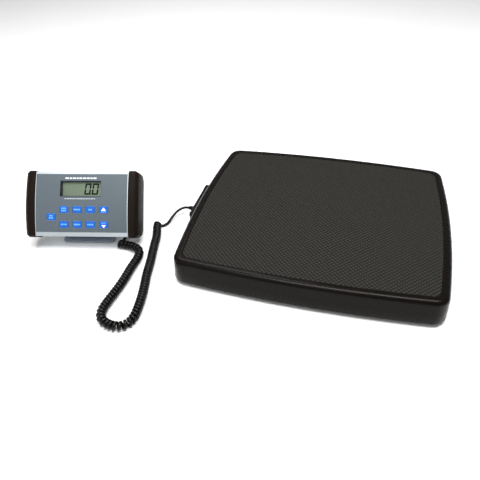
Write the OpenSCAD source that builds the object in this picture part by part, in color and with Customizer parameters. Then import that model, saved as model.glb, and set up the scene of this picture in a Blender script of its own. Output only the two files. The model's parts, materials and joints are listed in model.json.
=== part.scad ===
// Low platform scale for animals, with a remote display on a tilting desk bracket and a curly signal cord.
// The origin is on the table, under the middle of the platform and display together. Millimetres, +Z up.

/* [Platform] */
// Width of the platform at its widest
platform_w = 360; // [300:1:440]
// Depth of the platform at its deepest
platform_d = 316; // [260:1:390]
// Height of the platform's rim above the table
platform_h = 41; // [34:0.5:56]
// Gap between the table and the cover's lower edge
foot_gap = 6; // [4.5:0.5:8]
// How far the left and right sides bow outwards
side_bow = 9.8; // [5:0.1:14]
// How far the front and back bow outwards
end_bow = 9.2; // [5:0.1:14]
// Corner radius seen from above
corner_r = 19.5; // [15:0.5:30]
// Radius of the rim's upper edge
rim_r = 6.6; // [3:0.2:8]
// How much the cover's wall leans in from bottom to top
cover_draft = 1.3; // [0.5:0.1:3]
// Wall of the cover's skirt
cover_wall = 2.8; // [2:0.1:4]
// Thickness of the cover under the mat
cover_top = 3; // [2:0.1:4]

/* [Mat and top plate] */
// Distance from the platform's edge to the mat
mat_inset = 12.5; // [10:0.5:16]
// Thickness of the mat
mat_t = 1.8; // [1.2:0.1:3]
// Depth of the recess that holds the mat
mat_recess = 2.2; // [1.6:0.1:3.4]
// Thickness of the steel top plate
plate_t = 3; // [2:0.5:4]
// Distance from the platform's edge to the top plate
plate_inset = 26; // [24:1:34]

/* [Base tray] */
// Thickness of the base tray
tray_t = 2; // [1.5:0.1:3]
// Height of the base tray's edge
tray_edge = 6; // [4:0.5:8]
// Gap between the base tray and the cover's wall
tray_gap = 0.8; // [0.5:0.1:2]
// Radius of a tray screw's thread
tray_screw_r = 1.5; // [1.25:0.25:2]

/* [Load cells and feet] */
// Distance from the platform's sides to the foot centres
foot_inset = 50; // [44:1:60]
// Length of a load cell
cell_l = 70; // [60:1:80]
// Width of a load cell
cell_w = 12.7; // [10:0.1:15]
// Height of a load cell
cell_h = 12; // [9:0.5:13]
// Thickness of the spacer between a load cell and the top plate
cell_pad = 2; // [1:0.5:3]
// Radius of a load-cell screw
cell_screw_r = 2; // [1.5:0.25:2.5]
// Distance between the two screws of a load cell
cell_screw_pitch = 15; // [12:1:18]
// Radius of a foot
foot_r = 15; // [12:0.5:18]
// Height of a foot's rubber body
foot_h = 9; // [8:0.5:10]
// Radius of a foot's stud
foot_stud_r = 4; // [3:0.5:5]
// Free height above a foot's stud
foot_play = 0.5; // [0.3:0.1:1]

/* [Cable exit] */
// Length of the cable-exit cover along the platform's side
exit_l = 88; // [70:1:110]
// How far the cable-exit cover stands out from the platform's side
exit_out = 12.5; // [9:0.5:16]
// Middle of the cable-exit cover, measured back from the platform's centre
exit_y = 17; // [0:1:30]
// Height of the cable-exit cover's top above the table
exit_top = 20; // [17:0.5:26]
// Place of the strain relief, measured back from the platform's centre
relief_y = 2; // [-8:1:20]
// Height of the strain relief above the table
relief_z = 13; // [11:0.5:15]
// Length of the platform's strain relief
relief_l = 9; // [6:1:14]

/* [Cord] */
// Outer diameter of the cord
cord_d = 4.2; // [3.5:0.1:5]
// Outer diameter of the curly part
coil_d = 12; // [10:0.5:14]

/* [Display housing] */
// Length of the housing between its end caps
head_w = 133; // [115:1:170]
// Height of the housing
head_h = 92; // [84:1:112]
// Depth of the housing, front edge to back
head_d = 34; // [33:0.5:44]
// How far the front bulges forward of its upper and lower edges
head_bulge = 3.5; // [2:0.1:5]
// Wall of the housing
head_wall = 2; // [1.6:0.1:2.4]
// Radius of the housing's two rear edges
rear_r = 12; // [8:0.5:13]
// Radius of the housing's two front edges
front_edge_r = 2.5; // [1:0.5:4]
// Thickness of an end cap
cap_t = 13; // [8:0.1:16]
// How far the end caps stand proud of the housing
cap_lip = 1.5; // [0.5:0.1:2.5]
// Bevel of an end cap's outer edge
cap_bevel = 4.5; // [2:0.1:6]
// Thickness of the gasket under an end cap
gasket_t = 0.8; // [0.5:0.1:1.5]

/* [Display place] */
// Middle of the display's front, to the right of the origin
display_x = -208.5; // [-220:0.5:-200]
// Middle of the display's front, behind the origin
display_y = -86.5; // [-95:0.5:-75]
// Angle of the display to the platform, seen from above
display_yaw = 12; // [0:0.5:20]
// How far the display leans back at rest
display_tilt = 39.5; // [35:0.5:44]
// Height of the tilt pivot above the table
pivot_h = 24.2; // [23:0.1:30]

/* [Front panel] */
// Thickness of the front overlay
overlay_t = 0.5; // [0.3:0.1:0.8]
// Bare strip of housing above the overlay
overlay_top = 3.6; // [2:0.1:6]
// Bare strip of housing below the overlay
overlay_bottom = 5.8; // [3:0.1:8]
// Width of the display window
window_w = 58.6; // [50:0.1:64]
// Height of the display window
window_h = 21.8; // [20:0.1:26]
// Middle of the window, to the right of the panel's middle
window_x = -1.2; // [-5:0.1:5]
// Middle of the window, above the panel's middle
window_z = 21.5; // [20:0.1:24]
// Width of a key
key_w = 12.7; // [10:0.1:14]
// Height of a key
key_h = 9.8; // [8:0.1:12]
// Distance between key columns
key_pitch_x = 19.1; // [17:0.1:22]
// Distance between key rows
key_pitch_z = 21; // [16:0.1:23]
// Middle of the key block, to the right of the panel's middle
keys_x = 4; // [0:0.1:5]
// Middle of the key block, above the panel's middle
keys_z = -18.7; // [-21:0.1:-17]
// Place of the single key, to the right of the panel's middle
power_key_x = -43; // [-50:0.1:-42]
// Gap around a key
key_gap = 0.3; // [0.2:0.05:0.5]
// Height of a key above the overlay
key_proud = 0.5; // [0.3:0.1:1]
// Travel of a key
key_travel = 0.5; // [0.3:0.1:0.7]

/* [Display pivot and bracket] */
// Distance from the housing's back to the pivot
pivot_back = 10; // [10:0.5:14]
// Distance of the pivot below the housing's middle
pivot_low = 12; // [11:0.5:14]
// Radius of the lug around the pivot
lug_r = 8; // [6:0.5:8.5]
// Length of the lug bar
lug_l = 70; // [60:1:80]
// Radius of the pivot screws
pivot_screw_r = 2.5; // [2:0.25:3]
// Radial clearance of the pivot screws in the bracket
pivot_clearance = 0.1; // [0.05:0.01:0.1]
// Thickness of a friction washer
washer_t = 0.9; // [0.5:0.1:1.5]
// Thickness of the bracket's steel
bracket_t = 2; // [1.5:0.1:2.5]
// Bracket plate in front of the pivot
bracket_front = 38.5; // [32:0.5:42]
// Bracket plate behind the pivot
bracket_back = 30; // [26:1:45]
// Distance between the two wall-screw holes
wall_hole_pitch = 44; // [30:1:52]
// Radius of a wall-screw hole
wall_hole_r = 2.6; // [2:0.1:3]
// Thickness of the bracket's rubber pads
bracket_pad_t = 1.5; // [1:0.1:2.5]

/* [Batteries] */
// Radius of a battery
battery_r = 7.25; // [5.25:0.25:7.25]
// Length of a battery
battery_l = 50.5; // [44.5:0.5:50.5]
// Wall of the battery box
battery_box_wall = 1.2; // [1:0.1:1.6]
// Gap around the battery door
door_gap = 0.25; // [0.2:0.05:0.4]

/* [Hidden] */
$fn = 48;
eps = 0.01;

// Left side of the platform, where the cord leaves. It stays put, so a wider platform grows to the right
platform_left = -62.5;
platform_x = platform_left + platform_w / 2;

// Smallest corner radius of the outlines drawn inside the platform's
inner_corner_r = 11;

// Heights in the platform, from the rim down and from the table up
recess_z = platform_h - mat_recess;
plate_z = recess_z - cover_top - plate_t;
cell_top_z = plate_z - cell_pad;
cell_z = cell_top_z - cell_h;
tray_z = foot_gap + 1;
foot_x = platform_w / 2 - foot_inset;
foot_y = platform_d / 2 - foot_inset;
boss_r = 4.5;
tray_outer = cover_draft + cover_wall + tray_gap;

// Outline of the platform: four bowed sides joined by corner arcs
side_r = (pow(platform_d / 2, 2) + side_bow * side_bow) / (2 * side_bow);
end_r = (pow(platform_w / 2, 2) + end_bow * end_bow) / (2 * end_bow);
side_centre = [platform_w / 2 - side_r, 0];
end_centre = [0, platform_d / 2 - end_r];
function turn(v) = [-v[1], v[0]];
function meet(a, ra, b, rb) =
    let (d = norm(b - a), u = (b - a) / d, along = (ra * ra - rb * rb + d * d) / (2 * d))
    a + u * along - turn(u) * sqrt(ra * ra - along * along);
function arc(c, r, from, to, steps) =
    [for (i = [0 : steps]) let (t = from + (to - from) * i / steps) c + r * [cos(t), sin(t)]];
function angle(v) = atan2(v[1], v[0]);
function outline_quarter(inset) =
    let (
        r = max(corner_r - inset, inner_corner_r),
        c = meet(end_centre, end_r - inset - r, side_centre, side_r - inset - r),
        low = angle(c - side_centre),
        high = angle(c - end_centre))
    concat(
        arc(side_centre, side_r - inset, 0, low, 6),
        arc(c, r, low + (high - low) / 7, high, 6),
        arc(end_centre, end_r - inset, high + (90 - high) / 6, 90, 5));
function outline(inset) =
    let (q = outline_quarter(inset), n = len(q))
    concat(
        q,
        [for (i = [n - 2 : -1 : 0]) [-q[i][0], q[i][1]]],
        [for (i = [1 : n - 1]) [-q[i][0], -q[i][1]]],
        [for (i = [n - 2 : -1 : 1]) [q[i][0], -q[i][1]]]);

// Cover screw bosses: four corners, front and back
bosses = [
    for (sx = [-1, 1]) for (sy = [-1, 1]) [sx * (platform_w / 2 - 22.5), sy * (platform_d / 2 - 22.5)],
    [0, platform_d / 2 - 13],
    [0, 13 - platform_d / 2]
];

// Junction board in the base tray, near the cable exit
junction_size = [44, 64, 1.6];
junction_at = [-foot_x + 12, 0, tray_z + tray_t + 3];

// Display axes: across the panel, back from it and up along it
lean = display_tilt;
across = [cos(display_yaw), sin(display_yaw), 0];
level_back = [-sin(display_yaw), cos(display_yaw), 0];
back = level_back * cos(lean) - [0, 0, sin(lean)];
up = level_back * sin(lean) + [0, 0, cos(lean)];
pivot_y = head_d + pivot_back;
// Height of the display's origin, so that the pivot lies at its own height
face_z = pivot_h + pivot_y * sin(lean) + pivot_low * cos(lean);
pivot = [display_x, display_y, face_z] + back * pivot_y - up * pivot_low;

// Section of the display housing, in depth and height
front_r = (pow(head_h / 2, 2) + head_bulge * head_bulge) / (2 * head_bulge);
front_centre_y = front_r - head_bulge;
half_w = head_w / 2;
function front_y(z, out) = front_centre_y - sqrt(pow(front_r + out, 2) - z * z);

// Keys: place on the panel
key_places = [
    [power_key_x, keys_z],
    for (row = [0.5, -0.5]) for (column = [-1.5 : 1.5])
        [keys_x + column * key_pitch_x, keys_z + row * key_pitch_z]
];
key_pocket = key_travel + 0.5;
key_stem_r = 2;
dome_y = front_y(0, -head_wall) + head_bulge + 1.4;

// Parts inside the display, by distance back from the panel's edges
board_t = 1.6;
glass_y = 3;
glass_t = 2.8;
main_board_y = 9;
battery_gap = 0.4;
box_in = [2 * battery_l + 2.4, 4 * battery_r + 2 * battery_gap];
box_out = box_in + 2 * battery_box_wall * [1, 1];
cell_y = head_d - head_wall - battery_gap - battery_r;
box_y = cell_y - battery_r - battery_gap - battery_box_wall;
box_z = box_out[1] / 2 + 0.4;
door_t = head_wall;
door_hole = box_out + [0.4, 0.4];
door_size = door_hole - 2 * door_gap * [1, 1];
board_screw_x = half_w - 7;
board_screw_z = head_h / 2 - 9;
board_screw_r = 1.5;

// Cap screws: posts inside the housing's four long edges, by depth and height
cap_screw_r = 1.6;
cap_post_r = 3.2;
cap_post_l = 12;
cap_screw_depth = 5;
rear_post = (rear_r - head_wall - cap_post_r + 0.8) * sin(45);
cap_screw_places = [
    for (sz = [-1, 1]) [4.6, sz * (head_h / 2 - 4.8)],
    for (sz = [-1, 1]) [head_d - rear_r + rear_post, sz * (head_h / 2 - rear_r + rear_post)]
];
lug_screw_x = lug_l / 2 - 20;
lug_bore_r = 1.5;

// Cable gland on the display's back
gland_x = 57;
gland_z = -20;
gland_l = 7;

// Bracket: ears outside the lug, plate on the table
ear_x = lug_l / 2 + washer_t + 0.1;
ear_r = 9;
ear_foot = 16;
bracket_x = ear_x + bracket_t;
bracket_z = bracket_pad_t;
wall_hole_y = 18;

// Cord: where it runs, on the table unless it rises to a gland
lead_platform_route = [
    [-84, 2, 13], [-87, 2, 13], [-90, 1.3, 12.9], [-93, -2.5, 12], [-96, -8, 9.5], [-98.5, -14, 7],
    [-101, -21, 4.6], [-103.5, -29, 3], [-106, -37, 2.3], [-109, -43.5, 2.1], [-112.5, -48, 2.1],
    [-116.5, -50, 2.1]
];
coil_route = [
    [-119, -42.5, 6], [-116.5, -51, 6], [-112, -62, 6], [-108.5, -74, 6], [-105.5, -88, 6], [-101.5, -104, 6],
    [-97.5, -120, 6], [-94, -136, 6], [-90.5, -152, 6], [-86, -168, 6], [-82, -184, 6], [-79, -200, 6],
    [-77, -214, 6], [-77, -226, 6], [-81, -236, 6], [-90, -241.5, 6], [-101, -241, 6], [-111.5, -237, 6],
    [-118, -229, 6], [-120.5, -218, 6], [-120, -204, 6], [-118.5, -188, 6], [-117.5, -172, 6],
    [-117.5, -156, 6], [-118, -140, 6], [-117.5, -126, 6], [-118, -115, 6], [-121.5, -105.5, 6],
    [-129, -99.5, 6], [-139, -97, 6], [-149, -96.5, 6], [-158, -97, 6]
];
lead_display_route = [
    [-156.7, -56, 19.8], [-157, -54.5, 18.6], [-157.1, -53.1, 16.7], [-157.1, -52.5, 14], [-157.2, -52.7, 10.5],
    [-157.2, -53.9, 7.2], [-157.2, -56.1, 4.6], [-157.2, -59.1, 2.8], [-157.1, -63, 2.1],
    [-157.1, -70, 2.1], [-157.2, -78, 2.1], [-157, -86, 2.1], [-156.5, -94, 2.1]
];

// Tube swept along points; reference is a direction that the tube never follows
function unit(v) = v / norm(v);
function heading(p, i) = unit(p[min(i + 1, len(p) - 1)] - p[max(i - 1, 0)]);
function ring(p, i, d, sides, reference) =
    let (t = heading(p, i), u = unit(cross(reference, t)), v = cross(t, u))
    [for (k = [0 : sides - 1]) let (a = 360 * k / sides) p[i] + d / 2 * (cos(a) * u + sin(a) * v)];
module tube(p, d, sides, reference) {
    n = len(p);
    polyhedron(
        points = [for (i = [0 : n - 1]) each ring(p, i, d, sides, reference)],
        faces = concat(
            [[for (k = [sides - 1 : -1 : 0]) k]],
            [for (i = [0 : n - 2]) for (k = [0 : sides - 1])
                let (a = i * sides + k, b = i * sides + (k + 1) % sides)
                each [[a, b, b + sides], [a, b + sides, a + sides]]],
            [[for (k = [0 : sides - 1]) (n - 1) * sides + k]]));
}

// Placing
module at_platform() translate([platform_x, 0, 0]) children();
module at_head() translate([display_x, display_y, face_z]) rotate([-lean, 0, display_yaw]) children();
module at_bracket() translate([pivot[0], pivot[1], 0]) rotate([0, 0, display_yaw]) children();
module along_x(x0, x1) translate([x0, 0, 0]) rotate([90, 0, 90]) linear_extrude(x1 - x0) children();
module block(lo, hi) translate(lo) cube(hi - lo);
module rod_x(y, z, r, x0, x1) translate([x0, y, z]) rotate([0, 90, 0]) cylinder(r = r, h = x1 - x0);
module rod_y(x, z, r, y0, y1) translate([x, y0, z]) rotate([-90, 0, 0]) cylinder(r = r, h = y1 - y0);

// Platform
module slab(inset, z0, z1) translate([0, 0, z0]) linear_extrude(z1 - z0) polygon(outline(inset));
module cover_outside() {
    top_inset = cover_draft;
    hull() {
        slab(0, foot_gap, foot_gap + eps);
        for (a = [0 : 18 : 90])
            slab(top_inset + rim_r * (1 - cos(a)),
                platform_h - rim_r * (1 - sin(a)) - eps, platform_h - rim_r * (1 - sin(a)));
    }
}
module cover_inside() {
    hull() {
        slab(cover_wall, foot_gap - 1, foot_gap);
        slab(cover_draft + cover_wall + rim_r / 2, recess_z - cover_top - eps, recess_z - cover_top);
    }
}
module platform_cover() {
    color("#1f1c19") at_platform() difference() {
        union() {
            difference() {
                cover_outside();
                cover_inside();
            }
            for (b = bosses)
                translate([b[0], b[1], tray_z + tray_t])
                    cylinder(r = boss_r, h = recess_z - cover_top - tray_z);
        }
        slab(mat_inset, recess_z, platform_h + 1);
        for (b = bosses)
            translate([b[0], b[1], tray_z]) cylinder(r = tray_screw_r, h = tray_t + 12);
        rod_x(relief_y, relief_z, cord_d / 2 + 0.4, -platform_w / 2 - 5, -platform_w / 2 + 15);
    }
}
module platform_mat() color("#3b3935") at_platform() slab(mat_inset + 0.3, recess_z, recess_z + mat_t);

// Load cells lie along X from each foot towards the middle
cell_corners = [[-1, -1], [1, -1], [-1, 1], [1, 1]];
cell_reach = cell_l - 8;
cell_screw_xs = [cell_reach - 6, cell_reach - 6 - cell_screw_pitch];
module at_cell(i) {
    c = cell_corners[i];
    translate([c[0] * foot_x, c[1] * foot_y, 0]) rotate([0, 0, c[0] > 0 ? 180 : 0]) children();
}
module top_plate() {
    pad_l = cell_screw_pitch + 12;
    color("#8a8f94") at_platform() difference() {
        union() {
            slab(plate_inset, plate_z, plate_z + plate_t);
            for (i = [0 : 3])
                at_cell(i)
                    block([cell_reach - pad_l, -cell_w / 2, cell_top_z], [cell_reach, cell_w / 2, plate_z]);
        }
        for (i = [0 : 3]) for (x = cell_screw_xs)
            at_cell(i) translate([x, 0, cell_top_z - 1])
                cylinder(r = cell_screw_r, h = cell_pad + plate_t + 2);
    }
}
module load_cell(i) {
    color("#b9bcc0") at_platform() at_cell(i) difference() {
        block([-8, -cell_w / 2, cell_z], [cell_reach, cell_w / 2, cell_top_z]);
        for (x = cell_screw_xs)
            translate([x, 0, cell_z - 1]) cylinder(r = cell_screw_r, h = cell_h + 2);
        for (x = [16, 27])
            translate([x, -cell_w / 2 - 1, cell_z + cell_h / 2]) rotate([-90, 0, 0])
                cylinder(r = cell_h * 0.32, h = cell_w + 2);
        block([16, -cell_w / 2 - 1, cell_z + cell_h / 2 - 1], [27, cell_w / 2 + 1, cell_z + cell_h / 2 + 1]);
    }
}
module load_cell_fl() load_cell(0);
module load_cell_fr() load_cell(1);
module load_cell_rl() load_cell(2);
module load_cell_rr() load_cell(3);
module load_cell_screws() {
    color("#c9c9c9") at_platform() for (i = [0 : 3]) for (x = cell_screw_xs) at_cell(i) {
        translate([x, 0, cell_z]) cylinder(r = cell_screw_r, h = cell_h + cell_pad + plate_t - 0.5);
        translate([x, 0, cell_z - 2.4]) cylinder(r = cell_screw_r * 1.8, h = 2.4);
    }
}
module foot(i) {
    c = cell_corners[i];
    color("#191919") at_platform() translate([c[0] * foot_x, c[1] * foot_y, 0]) {
        cylinder(r = foot_r - 1.5, h = 1.5);
        translate([0, 0, 1.5]) cylinder(r = foot_r, h = foot_h - 1.5);
        translate([0, 0, foot_h]) cylinder(r = foot_stud_r, h = cell_z - foot_play - foot_h);
    }
}
module foot_fl() foot(0);
module foot_fr() foot(1);
module foot_rl() foot(2);
module foot_rr() foot(3);
module base_tray() {
    standoff_x = junction_size[0] / 2 - 4;
    standoff_y = junction_size[1] / 2 - 4;
    color("#26241f") at_platform() difference() {
        union() {
            slab(tray_outer, tray_z, tray_z + tray_t);
            difference() {
                slab(tray_outer, tray_z, tray_z + tray_edge);
                slab(tray_outer + 2, tray_z - 1, tray_z + tray_edge + 1);
            }
            for (sx = [-1, 1]) for (sy = [-1, 1])
                translate([junction_at[0] + sx * standoff_x, junction_at[1] + sy * standoff_y, tray_z])
                    cylinder(r = 3, h = junction_at[2] - tray_z);
        }
        for (c = cell_corners)
            translate([c[0] * foot_x, c[1] * foot_y, tray_z - 1]) cylinder(r = foot_r + 1.5, h = tray_t + 2);
        for (b = bosses)
            translate([b[0], b[1], tray_z - 1]) cylinder(r = tray_screw_r, h = tray_t + 2);
        translate([-platform_w / 2, relief_y - 5, relief_z - 5]) cube([16, 10, 10]);
    }
}
module tray_screws() {
    color("#c9c9c9") at_platform() for (b = bosses) translate([b[0], b[1], 0]) {
        translate([0, 0, tray_z]) cylinder(r = tray_screw_r, h = tray_t + 10);
        translate([0, 0, tray_z - 1.6]) cylinder(r = tray_screw_r * 2, h = 1.6);
    }
}
module junction_board() {
    color("#1d6b3c") at_platform() translate(junction_at - [junction_size[0] / 2, junction_size[1] / 2, 0])
        cube(junction_size);
}
junction_top = junction_at[2] + junction_size[2];
module junction_parts() {
    color("#d8d4c4") at_platform() translate([junction_at[0], junction_at[1], junction_top]) {
        for (sy = [-1, 1]) for (x = [-14, 4])
            translate([x, sy * 24 - 3, 0]) cube([10, 6, 6]);
        translate([-19, -5, 0]) cube([6, 10, 6]);
        translate([-4, -7, 0]) cube([12, 14, 2]);
        for (y = [-12, 0, 12]) translate([14, y, 0]) cylinder(r = 2.5, h = 5);
    }
}
module inner_wires() {
    wire_d = 2.4;
    wire_z = cell_z - 1.6;
    plug_z = junction_top + 4;
    color("#2b2b2b") at_platform() {
        for (i = [0 : 3]) {
            c = cell_corners[i];
            x1 = junction_at[0] + (c[0] < 0 ? -9 : 9);
            y0 = c[1] * (foot_y - cell_w / 2 - 3);
            y1 = c[1] * 28.4;
            x0 = c[0] * (foot_x - 22);
            tube(c[0] < 0
                ? [[x0, y0, wire_z + 6], [x0, y0 - c[1] * 6, wire_z + 1], [x1 - 4, y0 - c[1] * 24, wire_z],
                    [x1, y1 + c[1] * 14, wire_z], [x1, y1, plug_z - 2]]
                : [[x0, y0, wire_z + 6], [x0 - 4, y0 - c[1] * 6, wire_z + 1],
                    [x0 - 40, y0 - c[1] * 20, wire_z], [0, c[1] * 56, wire_z],
                    [x1 + 16, y1 + c[1] * 16, wire_z], [x1, y1, plug_z - 2]],
                wire_d, 6, [0.1, 0.2, 1]);
        }
        tube([[-platform_w / 2 + 4, relief_y, relief_z], [-platform_w / 2 + 14, relief_y, relief_z + 1],
                [junction_at[0] - 27, 1, plug_z - 1], [junction_at[0] - 19, 0, plug_z - 1]],
            wire_d, 6, [0, 0, 1]);
    }
}
exit_z0 = foot_gap + 1;
module exit_outline(out) {
    x1 = -platform_w / 2 + 12;
    x0 = -platform_w / 2 - exit_out + out;
    y0 = exit_y - exit_l / 2 + out;
    y1 = exit_y + exit_l / 2 - out;
    r = 9 - out;
    difference() {
        translate([x0, y0]) square([x1 - x0, y1 - y0]);
        difference() {
            translate([x0 - 1, y0 - 1]) square([r + 1, r + 1]);
            translate([x0 + r, y0 + r]) circle(r = r);
        }
    }
}
module cable_exit_cover() {
    color("#171513") at_platform() difference() {
        translate([0, 0, exit_z0]) linear_extrude(exit_top - exit_z0) exit_outline(0);
        cover_outside();
        rod_x(relief_y, relief_z, cord_d / 2, -platform_w / 2 - exit_out - 1, -platform_w / 2 + 13);
    }
}
module platform_strain_relief() {
    x0 = -platform_w / 2 - exit_out;
    color("#111111") at_platform() translate([x0, relief_y, relief_z]) rotate([0, -90, 0])
        cylinder(r1 = 4, r2 = 2.6, h = relief_l);
}

// Cord
module cord_lead_platform() color("#161412") tube(lead_platform_route, cord_d, 8, [0, 0, 1]);
module cord_coil() color("#1b1917") tube(coil_route, coil_d, 12, [0, 0, 1]);
module cord_lead_display() color("#161412") tube(lead_display_route, cord_d, 8, [1, 0, 0]);

// Display housing, in the display's own axes
module front_cylinder(out) {
    translate([-half_w - 20, front_centre_y, 0]) rotate([0, 90, 0])
        cylinder(r = front_r + out, h = head_w + 40, $fn = 240);
}
function section(inset, bulge_room) =
    let (
        z = head_h / 2 - inset,
        y = head_d - inset,
        r = max(rear_r - inset, 1),
        f = max(front_edge_r - inset, 0.5))
    concat(
        [[-head_bulge - bulge_room, -z + f]],
        bulge_room > 0 ? [[-head_bulge - bulge_room, -z]] : arc([inset + f, -z + f], f, 180, 270, 4),
        arc([y - r, -z + r], r, -90, 0, 8),
        arc([y - r, z - r], r, 0, 90, 8),
        bulge_room > 0 ? [[-head_bulge - bulge_room, z]] : arc([inset + f, z - f], f, 90, 180, 4));
module housing_solid(inset, x1) {
    intersection() {
        along_x(-x1, x1) polygon(section(inset, 1));
        front_cylinder(-inset);
    }
}
module panel_box(w, h, x, z, y0, y1) block([x - w / 2, y0, z - h / 2], [x + w / 2, y1, z + h / 2]);
module key_boxes(grow) {
    for (p = key_places)
        panel_box(key_w + 2 * grow, key_h + 2 * grow, p[0], p[1], -head_bulge - 3, 12);
}
module lug_rods(r, y0, y1) {
    for (sx = [-1, 1]) rod_y(sx * lug_screw_x, -pivot_low, r, y0, y1);
}
lens_gap = 1.2;
lens_size = [window_w, window_h] + 2 * (lens_gap - 0.1) * [1, 1];
module board_rods(r, y0, y1) {
    for (sx = [-1, 1]) for (sz = [-1, 1]) rod_y(sx * board_screw_x, sz * board_screw_z, r, y0, y1);
}
module cap_rods(r, x0, x1) {
    for (sx = [-1, 1]) for (p = cap_screw_places) mirror([sx < 0 ? 1 : 0, 0, 0]) rod_x(p[0], p[1], r, x0, x1);
}
module housing_shell() {
    difference() {
        housing_solid(0, half_w);
        housing_solid(head_wall, half_w + 1);
    }
    board_rods(2 * board_screw_r, 1, main_board_y);
    cap_rods(cap_post_r, half_w - cap_post_l, half_w);
}
module display_housing() {
    color("#c8ccd0") at_head() difference() {
        housing_shell();
        panel_box(window_w + 2 * lens_gap, window_h + 2 * lens_gap, window_x, window_z, -head_bulge - 3, 8);
        difference() {
            key_boxes(key_gap);
            front_cylinder(-key_pocket);
        }
        for (p = key_places) rod_y(p[0], p[1], key_stem_r + 0.4, -head_bulge - 3, 6);
        panel_box(door_hole[0], door_hole[1], 0, box_z, head_d - head_wall - 1, head_d + 1);
        lug_rods(lug_bore_r, head_d - head_wall - 1, head_d + 1);
        rod_y(gland_x, gland_z, 3, head_d - head_wall - 1, head_d + 1);
        board_rods(board_screw_r, main_board_y - 4, main_board_y + 1);
        cap_rods(cap_screw_r, half_w - cap_post_l + 2, half_w + 1);
    }
}
function cap_section(out) =
    let (z = head_h / 2 + out, r = rear_r + out, f = front_edge_r + out, y = head_d + out)
    concat(
        arc([y - r, -z + r], r, -90, 0, 8),
        arc([y - r, z - r], r, 0, 90, 8),
        arc([front_centre_y, 0], front_r + out, 180 - asin((z - f) / (front_r + out)),
            180 + asin((z - f) / (front_r + out)), 14),
        [[front_y(z - f, out) + f * 0.9, -z]]);
module end_cap(side) {
    x0 = half_w + gasket_t;
    color("#221c18") at_head() mirror([side < 0 ? 1 : 0, 0, 0]) difference() {
        hull() {
            along_x(x0, x0 + cap_t - cap_bevel) polygon(cap_section(cap_lip));
            along_x(x0 + cap_t - eps, x0 + cap_t) polygon(cap_section(cap_lip - cap_bevel * 0.8));
        }
        for (p = cap_screw_places) rod_x(p[0], p[1], cap_screw_r, x0 - 1, x0 + cap_screw_depth);
    }
}
module end_cap_left() end_cap(-1);
module end_cap_right() end_cap(1);
module gasket(side) {
    color("#101010") at_head() mirror([side < 0 ? 1 : 0, 0, 0]) difference() {
        intersection() {
            along_x(half_w, half_w + gasket_t) polygon(section(0.3, 1));
            front_cylinder(-0.3);
        }
        intersection() {
            along_x(half_w - 1, half_w + gasket_t + 1) polygon(section(head_wall + 0.6, 1));
            front_cylinder(-head_wall - 0.6);
        }
    }
}
module gasket_left() gasket(-1);
module gasket_right() gasket(1);
module cap_screws() {
    color("#c9c9c9") at_head()
        cap_rods(cap_screw_r, half_w - cap_post_l + 2, half_w + gasket_t + cap_screw_depth);
}
module front_overlay() {
    z1 = head_h / 2 - overlay_top;
    z0 = -head_h / 2 + overlay_bottom;
    color("#75838e") at_head() difference() {
        intersection() {
            front_cylinder(overlay_t);
            block([-half_w + 1, -head_bulge - 3, z0], [half_w - 1, head_d / 3, z1]);
        }
        front_cylinder(0);
        panel_box(window_w, window_h, window_x, window_z, -head_bulge - 3, 8);
        key_boxes(key_gap);
    }
}
module lcd_window() {
    color("#dfe8ea") at_head() difference() {
        intersection() {
            front_cylinder(-0.1);
            panel_box(lens_size[0], lens_size[1], window_x, window_z, -6, 3);
        }
        front_cylinder(-1.2);
    }
}
module lcd_bezel() {
    color("#0d0d0d") at_head() difference() {
        panel_box(window_w + 4, window_h + 4, window_x, window_z, 1, glass_y);
        panel_box(window_w - 3, window_h - 2, window_x, window_z, 0, glass_y + 1);
    }
}
module lcd_glass() {
    color("#8f9a88") at_head()
        panel_box(window_w + 2, window_h + 2, window_x, window_z, glass_y, glass_y + glass_t);
}
// Digits: each a ring of seven-segment bars without the middle one, and a point between them
digit_w = 9.4;
digit_h = 17;
digit_bar = 1.9;
module lcd_segments() {
    y0 = glass_y - 0.15;
    color("#1c2420") at_head() {
        for (x = [window_x + 9.6, window_x + 21]) {
            for (sz = [-1, 1])
                panel_box(digit_w - 2 * digit_bar, digit_bar,
                    x, window_z + sz * (digit_h - digit_bar) / 2, y0, glass_y);
            for (sx = [-1, 1]) for (sz = [-1, 1])
                panel_box(digit_bar, digit_h / 2 - 0.5, x + sx * (digit_w - digit_bar) / 2,
                    window_z + sz * (digit_h / 4 + 0.25), y0, glass_y);
        }
        panel_box(1.2, 1.2, window_x + 15.3, window_z - digit_h / 2 + 0.6, y0, glass_y);
    }
}

// Keys
module key(i) {
    p = key_places[i];
    color("#2a6fd6") at_head() {
        difference() {
            intersection() {
                front_cylinder(overlay_t + key_proud);
                panel_box(key_w, key_h, p[0], p[1], -head_bulge - 3, 6);
            }
            front_cylinder(key_travel - key_pocket + 0.2);
        }
        rod_y(p[0], p[1], key_stem_r, front_y(p[1], 0.3), dome_y - key_travel - 0.1);
    }
}
module key_power() key(0);
module key_units() key(1);
module key_hold() key(2);
module key_zero() key(3);
module key_up() key(4);
module key_recall() key(5);
module key_clear() key(6);
module key_enter() key(7);
module key_down() key(8);
keypad_y = dome_y + 0.3;
module keypad_board() {
    x0 = power_key_x - key_w / 2 - 2;
    x1 = keys_x + 1.5 * key_pitch_x + key_w / 2 + 2;
    z0 = keys_z - key_pitch_z / 2 - key_h / 2 - 1;
    z1 = keys_z + key_pitch_z / 2 + key_h / 2 + 1;
    color("#1d6b3c") at_head() block([x0, keypad_y, z0], [x1, keypad_y + board_t, z1]);
}
module contact_domes() {
    color("#c9c9c9") at_head() for (p = key_places) rod_y(p[0], p[1], 3, dome_y, keypad_y);
}

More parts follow.
